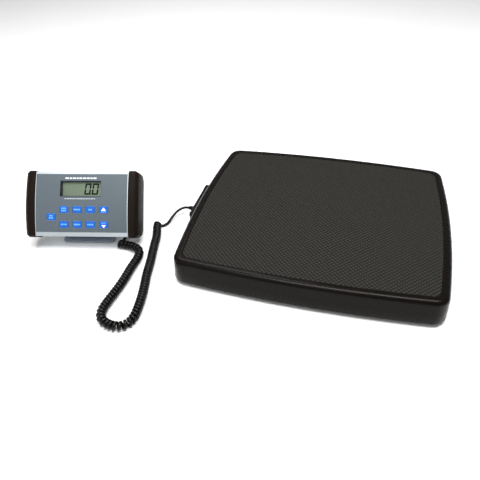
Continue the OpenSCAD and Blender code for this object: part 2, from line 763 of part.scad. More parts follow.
// Boards and batteries
module main_board() {
    color("#1d6b3c") at_head() difference() {
        panel_box(head_w - 8, head_h - 12, 0, 0, main_board_y, main_board_y + board_t);
        board_rods(board_screw_r, main_board_y - 1, main_board_y + board_t + 1);
    }
}
module main_board_parts() {
    y1 = main_board_y + board_t;
    color("#1a1a1a") at_head() {
        block([-10, y1, -40], [4, y1 + 2, -26]);
        block([14, y1, -38], [24, y1 + 1.6, -28]);
        block([gland_x - 12, y1, -38], [gland_x - 2, y1 + 7, -30]);
        for (x = [-42, -33, -24]) rod_y(x, -33, 3, y1, y1 + 8);
        rod_y(-52, -33, 5, y1, y1 + 3);
        block([window_x - 20, glass_y + glass_t, window_z - 13], [window_x + 20, main_board_y, window_z - 9]);
    }
}
module board_screws() {
    y1 = main_board_y + board_t;
    color("#c9c9c9") at_head() {
        board_rods(board_screw_r, main_board_y - 4, y1);
        board_rods(2.8, y1, y1 + 1.8);
    }
}
module battery_box() {
    y1 = head_d - head_wall - 0.2;
    color("#1b1b1b") at_head() difference() {
        panel_box(box_out[0], box_out[1], 0, box_z, box_y, y1);
        panel_box(box_in[0], box_in[1], 0, box_z, box_y + battery_box_wall, y1 + 1);
    }
}
module batteries() {
    color("#b08d3c") at_head() for (sx = [-1, 1]) for (sz = [-1, 1])
        translate([sx * battery_l / 2, cell_y, box_z + sz * (battery_r + battery_gap / 2)])
        rotate([0, 90, 0]) {
            translate([0, 0, -battery_l / 2 + 0.1]) cylinder(r = battery_r, h = battery_l - 1.2);
            translate([0, 0, battery_l / 2 - 1.1]) cylinder(r = 2.6, h = 1);
        }
}
module battery_contacts() {
    color("#d0d0d0") at_head() for (sx = [-1, 1]) for (sz = [-1, 1]) {
        x = sx * (box_in[0] / 2 - 0.25);
        z = box_z + sz * (battery_r + battery_gap / 2);
        panel_box(0.4, 9, x, z, cell_y - 4.5, cell_y + 4.5);
    }
}
module battery_door() {
    color("#24211e") at_head() {
        panel_box(door_size[0], door_size[1], 0, box_z, head_d - door_t, head_d);
        for (z = [-9 : 3 : 9]) panel_box(26, 1.2, 0, box_z + z, head_d, head_d + 0.7);
    }
}
module display_strain_relief() {
    color("#111111") at_head() {
        rod_y(gland_x, gland_z, 3, head_d - head_wall, head_d);
        translate([gland_x, head_d, gland_z]) rotate([-90, 0, 0]) cylinder(r1 = 4, r2 = 2.6, h = gland_l);
        rod_y(gland_x, gland_z, 4.2, head_d - head_wall - 2, head_d - head_wall);
    }
}

// Pivot and bracket
module pivot_lug() {
    x1 = lug_l / 2;
    color("#2a2623") at_head() difference() {
        union() {
            block([-x1, head_d, -pivot_low - lug_r], [x1, pivot_y, -pivot_low + lug_r]);
            translate([-x1, pivot_y, -pivot_low]) rotate([0, 90, 0]) cylinder(r = lug_r, h = lug_l);
        }
        for (sx = [-1, 1])
            translate([sx * (x1 - 16), pivot_y, -pivot_low]) rotate([0, 90 * sx, 0])
                cylinder(r = pivot_screw_r, h = 17);
        lug_rods(lug_bore_r, head_d - 1, head_d + 7);
    }
}
module lug_screws() {
    color("#c9c9c9") at_head() {
        lug_rods(lug_bore_r, head_d - head_wall, head_d + 6.5);
        lug_rods(3, head_d - head_wall - 2, head_d - head_wall);
    }
}
module pivot_screws() {
    color("#b9bcc0") at_head() for (sx = [-1, 1])
        translate([sx * (lug_l / 2 - 15), pivot_y, -pivot_low]) rotate([0, 90 * sx, 0]) {
            cylinder(r = pivot_screw_r, h = 15 + washer_t + bracket_t + 0.3);
            translate([0, 0, 15 + washer_t + bracket_t + 0.2]) cylinder(r = 4.5, h = 3);
        }
}
module friction_washers() {
    color("#e4e0d4") at_head() for (sx = [-1, 1])
        translate([sx * lug_l / 2, pivot_y, -pivot_low]) rotate([0, 90 * sx, 0]) difference() {
            cylinder(r = lug_r - 1, h = washer_t);
            translate([0, 0, -1]) cylinder(r = pivot_screw_r, h = washer_t + 2);
        }
}
module bracket() {
    corner = 5;
    y0 = -bracket_front;
    y1 = bracket_back;
    color("#4a5060") at_bracket() {
        difference() {
            translate([0, 0, bracket_z]) linear_extrude(bracket_t) difference() {
                translate([-bracket_x, y0]) square([2 * bracket_x, y1 - y0]);
                for (sx = [-1, 1]) difference() {
                    translate([sx * (bracket_x - corner / 2 + 0.5), y0 + corner / 2 - 0.5])
                        square(corner + 1, center = true);
                    translate([sx * (bracket_x - corner), y0 + corner]) circle(r = corner);
                }
            }
            for (sx = [-1, 1])
                translate([sx * wall_hole_pitch / 2, wall_hole_y, bracket_z - 1])
                    cylinder(r = wall_hole_r, h = bracket_t + 2);
        }
        for (sx = [-1, 1]) difference() {
            union() {
                translate([sx < 0 ? -bracket_x : ear_x, 0, 0]) rotate([90, 0, 90]) linear_extrude(bracket_t)
                    polygon([[-ear_foot, bracket_z + eps], [ear_foot, bracket_z + eps],
                        [ear_r, pivot_h], [-ear_r, pivot_h]]);
                translate([sx < 0 ? -bracket_x : ear_x, 0, pivot_h]) rotate([0, 90, 0])
                    cylinder(r = ear_r, h = bracket_t);
            }
            translate([sx < 0 ? -bracket_x - 1 : ear_x - 1, 0, pivot_h]) rotate([0, 90, 0])
                cylinder(r = pivot_screw_r + pivot_clearance, h = bracket_t + 2);
        }
    }
}
module bracket_pads() {
    color("#151515") at_bracket() for (sx = [-1, 1]) for (y = [-bracket_front + 8, bracket_back - 8])
        translate([sx * (bracket_x - 8), y, 0]) cylinder(r = 5, h = bracket_pad_t);
}

platform_cover();
platform_mat();
top_plate();
base_tray();
tray_screws();
load_cell_fl();
load_cell_fr();
load_cell_rl();
load_cell_rr();
load_cell_screws();
foot_fl();
foot_fr();
foot_rl();
foot_rr();
junction_board();
junction_parts();
inner_wires();
cable_exit_cover();
platform_strain_relief();
cord_lead_platform();
cord_coil();
cord_lead_display();
display_housing();
end_cap_left();
end_cap_right();
gasket_left();
gasket_right();
cap_screws();
front_overlay();
lcd_window();
lcd_bezel();
lcd_glass();
lcd_segments();
key_power();
key_units();
key_hold();
key_zero();
key_up();
key_recall();
key_clear();
key_enter();
key_down();
keypad_board();
contact_domes();
main_board();
main_board_parts();
board_screws();
battery_box();
batteries();
battery_contacts();
battery_door();
display_strain_relief();
pivot_lug();
lug_screws();
pivot_screws();
friction_washers();
bracket();
bracket_pads();
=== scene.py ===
"""Looks of the animal weighing scale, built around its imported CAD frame. Metres, +Z up."""

import json
import math

import bmesh
import bpy
import numpy as np
from mathutils import Matrix, Vector


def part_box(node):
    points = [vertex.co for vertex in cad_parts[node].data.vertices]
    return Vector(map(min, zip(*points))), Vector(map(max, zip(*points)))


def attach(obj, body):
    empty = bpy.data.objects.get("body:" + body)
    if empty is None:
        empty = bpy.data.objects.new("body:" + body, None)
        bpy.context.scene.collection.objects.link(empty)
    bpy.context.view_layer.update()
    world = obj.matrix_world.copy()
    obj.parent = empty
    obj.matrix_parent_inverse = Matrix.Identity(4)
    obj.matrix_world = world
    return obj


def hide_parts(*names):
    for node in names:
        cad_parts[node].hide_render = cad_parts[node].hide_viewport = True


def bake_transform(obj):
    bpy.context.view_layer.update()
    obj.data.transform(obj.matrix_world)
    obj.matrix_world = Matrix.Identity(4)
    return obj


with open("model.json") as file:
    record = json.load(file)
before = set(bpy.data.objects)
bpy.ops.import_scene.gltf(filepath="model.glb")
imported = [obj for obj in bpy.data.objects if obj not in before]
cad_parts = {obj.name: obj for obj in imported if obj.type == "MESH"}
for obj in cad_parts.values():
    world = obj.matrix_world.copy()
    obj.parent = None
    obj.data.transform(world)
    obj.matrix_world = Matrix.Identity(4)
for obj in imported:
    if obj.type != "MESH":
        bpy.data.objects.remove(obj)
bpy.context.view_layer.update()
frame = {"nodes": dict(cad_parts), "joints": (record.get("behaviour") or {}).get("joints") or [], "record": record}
nodes = frame["nodes"]
joints = {j["name"]: j for j in frame["joints"]}
scene = bpy.context.scene
MM = 0.001


# ---------------------------------------------------------------- camera

CAMERA_AT = (0.17101, -0.59073, 0.46542)
CAMERA_YAW, CAMERA_PITCH, CAMERA_ROLL = (math.radians(a) for a in (16.3865, 39.1109, -2.1326))
CAMERA_LENS = 37.769
CAMERA_SENSOR = 36.0


def make_camera():
    data = bpy.data.cameras.new("camera")
    data.lens, data.sensor_width = CAMERA_LENS, CAMERA_SENSOR
    data.clip_start, data.clip_end = 0.01, 20
    cam = bpy.data.objects.new("camera", data)
    scene.collection.objects.link(cam)
    level = math.cos(CAMERA_PITCH)
    forward = Vector((-math.sin(CAMERA_YAW) * level, math.cos(CAMERA_YAW) * level,
                      -math.sin(CAMERA_PITCH)))
    flat_right = Vector((math.cos(CAMERA_YAW), math.sin(CAMERA_YAW), 0))
    flat_up = flat_right.cross(forward)
    c, s = math.cos(CAMERA_ROLL), math.sin(CAMERA_ROLL)
    right, up = flat_right * c + flat_up * s, flat_up * c - flat_right * s
    turn = Matrix((right, up, -forward)).transposed().to_4x4()
    cam.matrix_world = Matrix.Translation(CAMERA_AT) @ turn
    scene.camera = cam


make_camera()


# ---------------------------------------------------------------- axes

# The display's own axes, from the record: across the panel, back from it and up along it
ACROSS = -np.array(joints["display_tilt"]["axis"], float)
BACK = np.array(joints["key_power_press"]["axis"], float)
UP = np.cross(ACROSS, BACK)
PIVOT_Y, PIVOT_LOW = 44.0, 12.0
HEAD_AT = np.array(joints["display_tilt"]["pos_m"]) - BACK * PIVOT_Y * MM + UP * PIVOT_LOW * MM
HEAD_TURN = np.array([ACROSS, BACK, UP])
cover_low, cover_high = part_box("platform_cover")
PLATFORM_AT = np.array([(cover_low.x + cover_high.x) / 2, (cover_low.y + cover_high.y) / 2, 0.0])


def on_head(points):
    """Points in the display's axes, in millimetres, as row-frame points in metres."""
    return HEAD_AT + np.asarray(points, float) * MM @ HEAD_TURN


def on_platform(points):
    """Points measured from the platform's centre, in millimetres, as row-frame points in metres."""
    return PLATFORM_AT + np.asarray(points, float) * MM


# ---------------------------------------------------------------- mesh tools


def new_piece(name, verts, faces, material=None, sharp=35, smooth=True):
    """A mesh object from row-frame points. Edges sharper than sharp degrees stay crisp."""
    mesh = bpy.data.meshes.new(name)
    rows = [tuple(v) for v in np.asarray(verts, float)]
    mesh.from_pydata(rows, [], [tuple(int(i) for i in f) for f in faces])
    bm = bmesh.new()
    bm.from_mesh(mesh)
    bmesh.ops.recalc_face_normals(bm, faces=bm.faces)
    bm.to_mesh(mesh)
    bm.free()
    if smooth:
        mesh.polygons.foreach_set("use_smooth", [True] * len(mesh.polygons))
        mesh.set_sharp_from_angle(angle=math.radians(sharp))
    obj = bpy.data.objects.new(name, mesh)
    scene.collection.objects.link(obj)
    if material is not None:
        mesh.materials.append(material)
    return obj


def loft(rings, caps=True):
    """Vertices and faces of a skin over closed rings with the same number of points."""
    n = len(rings[0])
    faces = []
    for i in range(len(rings) - 1):
        for k in range(n):
            a, b = i * n + k, i * n + (k + 1) % n
            faces.append((a, b, b + n, a + n))
    if caps:
        faces.append(tuple(range(n))[::-1])
        faces.append(tuple(range((len(rings) - 1) * n, len(rings) * n)))
    return np.concatenate([np.asarray(r, float) for r in rings]), faces


def joined(parts):
    """One list of vertices and faces from several."""
    verts, faces, start = [], [], 0
    for v, f in parts:
        verts.append(np.asarray(v, float))
        faces += [tuple(i + start for i in face) for face in f]
        start += len(v)
    return np.concatenate(verts), faces


# A turned profile's two ends stay this far from its axis, in metres
ON_AXIS = 0.0001


def lathe(profile, at, axis, sides):
    """A turned shape: profile is (distance along the axis, radius), in metres."""
    axis = np.asarray(axis, float) / np.linalg.norm(axis)
    side = np.cross(axis, [0, 0, 1.0] if abs(axis[2]) < 0.9 else [1.0, 0, 0])
    side /= np.linalg.norm(side)
    other = np.cross(axis, side)
    angles = np.linspace(0, 2 * math.pi, sides, endpoint=False)
    circle = np.outer(np.cos(angles), side) + np.outer(np.sin(angles), other)
    return loft([np.asarray(at) + axis * d + circle * r for d, r in profile])


def tube(points, radius, sides):
    """A tube round a centreline, its rings turned as little as possible."""
    p = np.asarray(points, float)
    heading = np.gradient(p, axis=0)
    heading /= np.linalg.norm(heading, axis=1)[:, None]
    side = np.cross(heading[0], [0, 0, 1.0])
    if np.linalg.norm(side) < 1e-3:
        side = np.array([1.0, 0, 0])
    rings = []
    angles = np.linspace(0, 2 * math.pi, sides, endpoint=False)
    for centre, t in zip(p, heading):
        side = side - t * (side @ t)
        side /= np.linalg.norm(side)
        other = np.cross(t, side)
        rings.append(centre + radius * (np.outer(np.cos(angles), side) + np.outer(np.sin(angles), other)))
    return loft(rings)


def through(points, step):
    """A smooth curve through points (Catmull-Rom), sampled about every step."""
    p = np.asarray(points, float)
    p = np.vstack([2 * p[0] - p[1], p, 2 * p[-1] - p[-2]])
    out = []
    for i in range(1, len(p) - 2):
        a, b, c, d = p[i - 1], p[i], p[i + 1], p[i + 2]
        count = max(2, int(np.linalg.norm(c - b) / step * 8))
        for t in np.linspace(0, 1, count, endpoint=False):
            out.append(0.5 * ((2 * b) + (c - a) * t + (2 * a - 5 * b + 4 * c - d) * t * t
                              + (3 * b - a - 3 * c + d) * t ** 3))
    out.append(p[-2])
    return even(np.array(out), step)


def even(p, step):
    """The same curve with points about step apart."""
    run = along(p)
    s = np.linspace(0, run[-1], max(3, int(round(run[-1] / step)) + 1))
    return np.column_stack([np.interp(s, run, p[:, k]) for k in range(3)])


def along(p):
    return np.concatenate([[0], np.cumsum(np.linalg.norm(np.diff(p, axis=0), axis=1))])


def softened(p, rounds):
    """The curve with its small corners averaged out; the ends stay."""
    p = p.copy()
    for _ in range(rounds):
        p[1:-1] = 0.25 * p[:-2] + 0.5 * p[1:-1] + 0.25 * p[2:]
    return p


# ---------------------------------------------------------------- materials


def linear(code):
    """Linear colour of an sRGB hex code."""
    values = [int(code[i:i + 2], 16) / 255 for i in (1, 3, 5)]
    return [v / 12.92 if v <= 0.04045 else ((v + 0.055) / 1.055) ** 2.4 for v in values]


def shade(rgb, share):
    return [min(1.0, c * share) for c in rgb] + [1.0]


class Surface:
    """Node tree helper: a Principled material in row-frame or display coordinates."""

    def __init__(self, name, head=False):
        self.material = bpy.data.materials.new(name)
        self.material.use_nodes = True
        self.tree = self.material.node_tree
        self.bsdf = next(n for n in self.tree.nodes if n.type == "BSDF_PRINCIPLED")
        self.coords = self.node("ShaderNodeTexCoord").outputs["Object"]
        if head:
            mapping = self.node("ShaderNodeMapping", vector_type="TEXTURE")
            mapping.inputs["Location"].default_value = tuple(HEAD_AT)
            turn = Matrix([list(r) for r in HEAD_TURN]).transposed()
            mapping.inputs["Rotation"].default_value = tuple(turn.to_euler())
            self.link(self.coords, mapping.inputs["Vector"])
            self.coords = mapping.outputs["Vector"]

    def node(self, kind, **settings):
        n = self.tree.nodes.new(kind)
        for key, value in settings.items():
            setattr(n, key, value)
        return n

    def link(self, a, b):
        self.tree.links.new(a, b)

    def set(self, **values):
        for key, value in values.items():
            self.bsdf.inputs[key.replace("_", " ")].default_value = value

    def stretched(self, scale):
        n = self.node("ShaderNodeMapping")
        n.inputs["Scale"].default_value = scale
        self.link(self.coords, n.inputs["Vector"])
        return n.outputs["Vector"]

    def noise(self, scale, detail=4.0, rough=0.6, vector=None):
        n = self.node("ShaderNodeTexNoise")
        n.inputs["Scale"].default_value = scale
        n.inputs["Detail"].default_value = detail
        n.inputs["Roughness"].default_value = rough
        self.link(vector or self.coords, n.inputs["Vector"])
        return n.outputs["Fac"]

    def cells(self, scale, feature="F1", vector=None):
        n = self.node("ShaderNodeTexVoronoi", feature=feature)
        n.inputs["Scale"].default_value = scale
        self.link(vector or self.coords, n.inputs["Vector"])
        return n.outputs["Distance"]

    def spread(self, value, low, high, start=0.3, stop=0.7):
        """Stretches value, from start to stop, over low to high."""
        n = self.node("ShaderNodeMapRange")
        for key, v in (("From Min", start), ("From Max", stop), ("To Min", low), ("To Max", high)):
            n.inputs[key].default_value = v
        self.link(value, n.inputs["Value"])
        return n.outputs["Result"]

    def blend_of(self, factor, a, b):
        """Colour a where factor is 0 and b where it is 1."""
        n = self.node("ShaderNodeMix", data_type="RGBA")
        for socket, v in ((n.inputs[6], a), (n.inputs[7], b)):
            if isinstance(v, (list, tuple)):
                socket.default_value = v
            else:
                self.link(v, socket)
        self.link(factor, n.inputs[0])
        return n.outputs[2]

    def colour(self, rgb, vary, scale, detail=5.0):
        """Base colour that varies by a share either way."""
        f = self.spread(self.noise(scale, detail), 0, 1)
        out = self.blend_of(f, shade(rgb, 1 - vary), shade(rgb, 1 + vary))
        self.link(out, self.bsdf.inputs["Base Color"])
        return out

    def edge_wear_and_highlight(self, base, rgb, start, stop):
        """Lightens convex edges: wear where hands and bags rub, and on the bracket a painted highlight for its lit
        front edge.
        """
        point = self.node("ShaderNodeNewGeometry").outputs["Pointiness"]
        f = self.spread(point, 0, 1, start, stop)
        self.link(self.blend_of(f, base, shade(rgb, 1)), self.bsdf.inputs["Base Color"])

    def roughness(self, low, high, scale):
        self.link(self.spread(self.noise(scale, 3), low, high), self.bsdf.inputs["Roughness"])

    def bump(self, value, strength, height):
        n = self.node("ShaderNodeBump")
        n.inputs["Strength"].default_value = strength
        n.inputs["Distance"].default_value = height
        self.link(value, n.inputs["Height"])
        previous = self.bsdf.inputs["Normal"].links
        if previous:
            self.link(previous[0].from_socket, n.inputs["Normal"])
        self.link(n.outputs["Normal"], self.bsdf.inputs["Normal"])


# How far the roughness of moulded plastic, rubber and film strays either way
ROUGH_VARY, RUBBER_VARY, FILM_VARY = 0.07, 0.08, 0.05


def moulded(name, code, rough, grain=2600, strength=0.35, shine=0.5):
    """Injection-moulded plastic with a spark-eroded grain and faint cloudiness."""
    s = Surface(name)
    base = s.colour(linear(code), vary=0.12, scale=55)
    s.edge_wear_and_highlight(base, [c * 1.8 + 0.004 for c in linear(code)], start=0.53, stop=0.62)
    s.roughness(rough - ROUGH_VARY, rough + ROUGH_VARY, scale=140)
    s.bump(s.cells(grain), strength=strength, height=0.00003)
    s.bump(s.noise(90, 2), strength=0.12, height=0.0003)
    s.set(Specular_IOR_Level=shine)
    return s.material


def rubber(name, code, rough):
    """Matt rubber, a little cloudy, with a fine skin."""
    s = Surface(name)
    s.colour(linear(code), vary=0.22, scale=130, detail=8)
    s.roughness(rough - RUBBER_VARY, rough + RUBBER_VARY, scale=260)
    s.bump(s.noise(900, 6, 0.7), strength=0.5, height=0.00008)
    s.set(Specular_IOR_Level=0.35)
    return s.material


# The heights, in metres, between which the mat's ribs turn from their dark grooves, painted shade and dirt, to
# their pale worn tops
RIB_FOOT_Z, RIB_TIP_Z = 0.03975, 0.04055


def ribbed_rubber():
    """The mat's rubber: lighter on the ribs' worn tops, dark between them with painted shade and dirt."""
    s = Surface("mat_rubber")
    split = s.node("ShaderNodeSeparateXYZ")
    s.link(s.coords, split.inputs["Vector"])
    # Painted shade and dirt darken the grooves; the paler tops are wear
    height = s.spread(split.outputs["Z"], 0, 1, RIB_FOOT_Z, RIB_TIP_Z)
    dark = s.blend_of(s.spread(s.noise(420, 6), 0, 1),
                      shade(linear("#060605"), 1), shade(linear("#0c0b0a"), 1))
    pale = s.blend_of(s.spread(s.noise(300, 6), 0, 1),
                      shade(linear("#302f2a"), 1), shade(linear("#3b3933"), 1))
    s.link(s.blend_of(height, dark, pale), s.bsdf.inputs["Base Color"])
    s.roughness(0.5, 0.66, scale=260)
    s.bump(s.noise(1500, 5, 0.7), strength=0.3, height=0.00004)
    s.set(Specular_IOR_Level=0.15)
    return s.material


def metal(name, code, rough, streak=(20, 900, 900), head=False, vary=0.08, depth=0.00002,
          anisotropic=0.0):
    """Brushed or milled metal. Its fine streaks run along the axis with the low streak scale."""
    s = Surface(name, head)
    s.set(Metallic=1.0, Anisotropic=anisotropic)
    lines = s.noise(1.0, 3, 0.5, s.stretched(streak))
    f = s.spread(lines, 0, 1)
    rgb = linear(code)
    clouds = s.spread(s.noise(40, 3), 0, 1)
    soft = s.blend_of(clouds, shade(rgb, 1 - vary), shade(rgb, 1 + vary * 0.5))
    s.link(s.blend_of(f, soft, shade(rgb, 1 + vary)), s.bsdf.inputs["Base Color"])
    s.link(s.spread(lines, rough - 0.06, rough + 0.08), s.bsdf.inputs["Roughness"])
    s.bump(lines, strength=0.25, height=depth)
    return s.material


def board():
    """Green solder mask with pale tracks and pads."""
    s = Surface("green_board")
    tracks = s.spread(s.cells(420, "DISTANCE_TO_EDGE", s.stretched((1, 1, 0.2))), 1, 0, 0.02, 0.05)
    green = s.blend_of(s.spread(s.noise(160), 0, 1),
                       shade(linear("#14552c"), 0.85), shade(linear("#1d6b3c"), 1.1))
    s.link(s.blend_of(tracks, green, shade(linear("#3f9a5c"), 1)), s.bsdf.inputs["Base Color"])
    s.bump(tracks, strength=0.3, height=0.00005)
    s.roughness(0.25, 0.4, scale=200)
    return s.material


def film(name, code, rough, sparkle, vary=0.05, shine=0.5):
    """Screen-printed polycarbonate film: a fine satin texture over flat ink."""
    s = Surface(name, head=True)
    base = s.colour(linear(code), vary=vary, scale=30, detail=3)
    fleck = s.spread(s.noise(6000, 2), 0, 1, 0.42, 0.62)
    s.link(s.blend_of(fleck, base, shade(linear(code), sparkle)), s.bsdf.inputs["Base Color"])
    s.roughness(rough - FILM_VARY, rough + FILM_VARY, scale=400)
    s.bump(s.noise(5200, 2), strength=0.25, height=0.00001)
    s.set(Specular_IOR_Level=shine)
    return s.material


# Where the glass begins and ends across the display, in metres; the painted shade fades over this span from left
# to right
LCD_SHADE_ENDS = (-0.034, 0.032)


def liquid_crystal():
    """Reflective grey-green glass with painted shade, darker to the left, and a fine polariser grain."""
    s = Surface("lcd_green", head=True)
    split = s.node("ShaderNodeSeparateXYZ")
    s.link(s.coords, split.inputs["Vector"])
    # Painted shade: the glass is made darker towards its left end
    f = s.spread(split.outputs["X"], 0, 1, *LCD_SHADE_ENDS)
    painted_left_shade = s.blend_of(f, shade(linear("#73836f"), 1), shade(linear("#8b9a80"), 1))
    grain = s.spread(s.noise(2600, 2), 0, 1)
    s.link(s.blend_of(grain, painted_left_shade, shade(linear("#7f8f79"), 1)), s.bsdf.inputs["Base Color"])
    s.roughness(0.28, 0.36, scale=90)
    s.bump(s.noise(1800, 2), strength=0.08, height=0.00001)
    s.set(Specular_IOR_Level=0.2)
    return s.material


def clear_acrylic():
    """Clear window. Its base is dark, because a pale one would veil what lies behind it."""
    s = Surface("clear_window", head=True)
    tint = s.blend_of(s.spread(s.noise(30, 3), 0, 1),
                      shade(linear("#1a2022"), 1), shade(linear("#20282a"), 1))
    s.link(tint, s.bsdf.inputs["Base Color"])
    s.link(s.spread(s.noise(220, 4), 0.03, 0.09), s.bsdf.inputs["Roughness"])
    s.set(Alpha=0.08, IOR=1.49)
    return s.material


def key_film():
    """Blue printed film over the keys."""
    s = Surface("key_blue", head=True)
    base = s.colour(linear("#1257b2"), vary=0.06, scale=60, detail=3)
    fleck = s.spread(s.noise(5200, 2), 0, 1, 0.4, 0.65)
    s.link(s.blend_of(fleck, base, shade(linear("#1c66c4"), 1)), s.bsdf.inputs["Base Color"])
    s.roughness(0.34, 0.44, scale=300)
    s.bump(s.noise(4200, 2), strength=0.2, height=0.00001)
    s.set(Specular_IOR_Level=0.25)
    return s.material


# The wrap's pattern is one cell long, and its copper end begins here, in metres
CELL_LONG, COPPER_FROM, COPPER_TO = 0.051, 0.0355, 0.0365


def battery_wrap():
    """Dark cell wrap with a copper-coloured end."""
    s = Surface("battery_wrap", head=True)
    split = s.node("ShaderNodeSeparateXYZ")
    s.link(s.coords, split.inputs["Vector"])
    wave = s.node("ShaderNodeMath", operation="PINGPONG")
    s.link(split.outputs["X"], wave.inputs[0])
    wave.inputs[1].default_value = CELL_LONG
    band = s.spread(wave.outputs[0], 0, 1, COPPER_FROM, COPPER_TO)
    dark = s.blend_of(s.spread(s.noise(80), 0, 1),
                      shade(linear("#1a1a1c"), 1), shade(linear("#26262a"), 1))
    s.link(s.blend_of(band, dark, shade(linear("#b3822f"), 1)), s.bsdf.inputs["Base Color"])
    s.roughness(0.22, 0.34, scale=120)
    s.set(Metallic=0.4)
    return s.material


def powder_coat():
    """Textured powder paint, with paler edges: a painted highlight on its lit front edge."""
    s = Surface("bracket_paint")
    base = s.colour(linear("#868f9c"), vary=0.08, scale=80)
    # Painted highlight: paler edges stand in for the light on the bracket's front edge
    s.edge_wear_and_highlight(base, linear("#a9afbd"), start=0.52, stop=0.6)
    s.roughness(0.42, 0.55, scale=120)
    s.bump(s.cells(1500), strength=0.5, height=0.00006)
    return s.material


def cord_pvc():
    """Smooth black cord jacket with faint scuffs."""
    s = Surface("cord_pvc")
    base = s.colour(linear("#080706"), vary=0.25, scale=160)
    scuffs = s.spread(s.noise(1400, 3), 0, 1, 0.55, 0.75)
    s.link(s.blend_of(scuffs, base, shade(linear("#110f0d"), 1)), s.bsdf.inputs["Base Color"])
    s.set(Specular_IOR_Level=0.22)
    s.roughness(0.22, 0.32, scale=220)
    s.bump(s.noise(1100, 3), strength=0.25, height=0.00004)
    return s.material


def lacquer():
    """Low-gloss black."""
    s = Surface("gloss_black")
    s.colour(linear("#0c0a09"), vary=0.2, scale=60)
    s.roughness(0.28, 0.4, scale=150)
    s.bump(s.noise(300, 2), strength=0.1, height=0.00005)
    s.set(Specular_IOR_Level=0.14)
    return s.material


MATERIALS = {
    "black_abs": moulded("black_abs", "#0b0705", 0.27, strength=0.1, shine=0.1),
    "mat_rubber": ribbed_rubber(),
    "zinc_steel": metal("zinc_steel", "#a9adb2", 0.36),
    "screw_steel": metal("screw_steel", "#c3c5c8", 0.28, (300, 300, 300)),
    "cell_aluminium": metal("cell_aluminium", "#b9bcc0", 0.34, (900, 30, 900)),
    "black_rubber": rubber("black_rubber", "#1a1918", 0.7),
    "green_board": board(),
    "part_plastic": moulded("part_plastic", "#d8d4c4", 0.45),
    "chip_black": moulded("chip_black", "#1b1b1c", 0.4, grain=4000),
    "wire_pvc": moulded("wire_pvc", "#2b2b2b", 0.42),
    "gloss_black": lacquer(),
    "cord_pvc": cord_pvc(),
    "housing_aluminium": metal("housing_aluminium", "#d5dee3", 0.34, (12, 900, 900), head=True,
                               vary=0.05, depth=0.00001, anisotropic=0.3),
    "cap_abs": moulded("cap_abs", "#150e09", 0.52, grain=2200, shine=0.09),
    "overlay_film": film("overlay_film", "#4c565d", 0.42, 1.2),
    "clear_window": clear_acrylic(),
    "bezel_black": moulded("bezel_black", "#0e0f10", 0.6),
    "lcd_green": liquid_crystal(),
    "lcd_ink": film("lcd_ink", "#060a09", 0.45, 1.3, 0.15, shine=0.08),
    "key_blue": key_film(),
    "battery_wrap": battery_wrap(),
    "washer_nylon": moulded("washer_nylon", "#e4e0d4", 0.5),
    "bracket_paint": powder_coat(),
}
legend_pale = film("legend_pale", "#6fb0ff", 0.4, 1.05)
legend_white = film("legend_white", "#f2f6fa", 0.4, 1.0, 0.03)
print_white = film("print_white", "#dfe6ea", 0.45, 1.0, 0.03)
print_dark = film("print_dark", "#3d4a54", 0.45, 1.1, 0.05)

slot_of = {row["node"]: row["material_slot"] for row in frame["record"]["subparts"]}
for name, obj in nodes.items():
    obj.data.materials.clear()
    obj.data.materials.append(MATERIALS[slot_of[name]])


# ---------------------------------------------------------------- cords

# Millimetres. COIL_R is the coil's mean radius; the routes repeat the CAD's points
CORD_R = 2.1
COIL_R = 4.3
HELIX_POINTS = 16
COIL_Z = COIL_R + CORD_R
COIL_ROUTE = [(x, y, COIL_Z) for x, y in (
    (-120, -38), (-118.7, -43.5), (-116.5, -51), (-112, -62), (-108.5, -74), (-105.5, -88), (-101.5, -104),
    (-97.5, -120), (-94, -136), (-90.5, -152), (-86, -168), (-82, -184), (-79, -200), (-77, -214),
    (-77, -226), (-81, -236), (-90, -241.5), (-101, -241), (-111.5, -237), (-118, -229), (-120.5, -218),
    (-120, -204), (-118.5, -188), (-117.5, -172), (-117.5, -156), (-118, -140), (-117.5, -126), (-118, -115),
    (-121.5, -105.5), (-129, -99.5), (-139, -97), (-149, -96.5), (-158, -97))]
PLATFORM_LEAD = [
    (-84, 2, 13), (-87, 2, 13), (-90.3, 1.5, 12.9), (-95, -1.5, 12), (-99.5, -6, 10.2), (-103, -12, 7.8),
    (-105.4, -19, 5.3), (-107, -26, 3.2), (-109, -32, 2.2), (-112, -36.2, 2.1)
]
DISPLAY_LEAD = [
    (-156.7, -56, 19.8), (-157, -54.5, 18.6), (-157.1, -53.1, 16.7), (-157.1, -52.5, 14),
    (-157.2, -52.7, 10.5), (-157.2, -53.9, 7.2), (-157.2, -56.1, 4.6), (-157.2, -59.1, 2.8),
    (-157.1, -63, 2.1), (-157.1, -70, 2.1), (-157.2, -78, 2.1), (-157, -86, 2.1)
]
# How much of the route is left free at each end
COIL_START, COIL_STOP = 1.0, 1.2
# Distance from turn to turn in cord diameters, and how it wanders: share and wavelength
TURN_GAP = 1.12
WANDER = ((0.05, 9.0, 0.0), (0.03, 3.7, 1.0))
MAX_BEND = 0.16
# The far end of the loop, where the cord's two halves meet
U_TURN = (-95, -241.5)


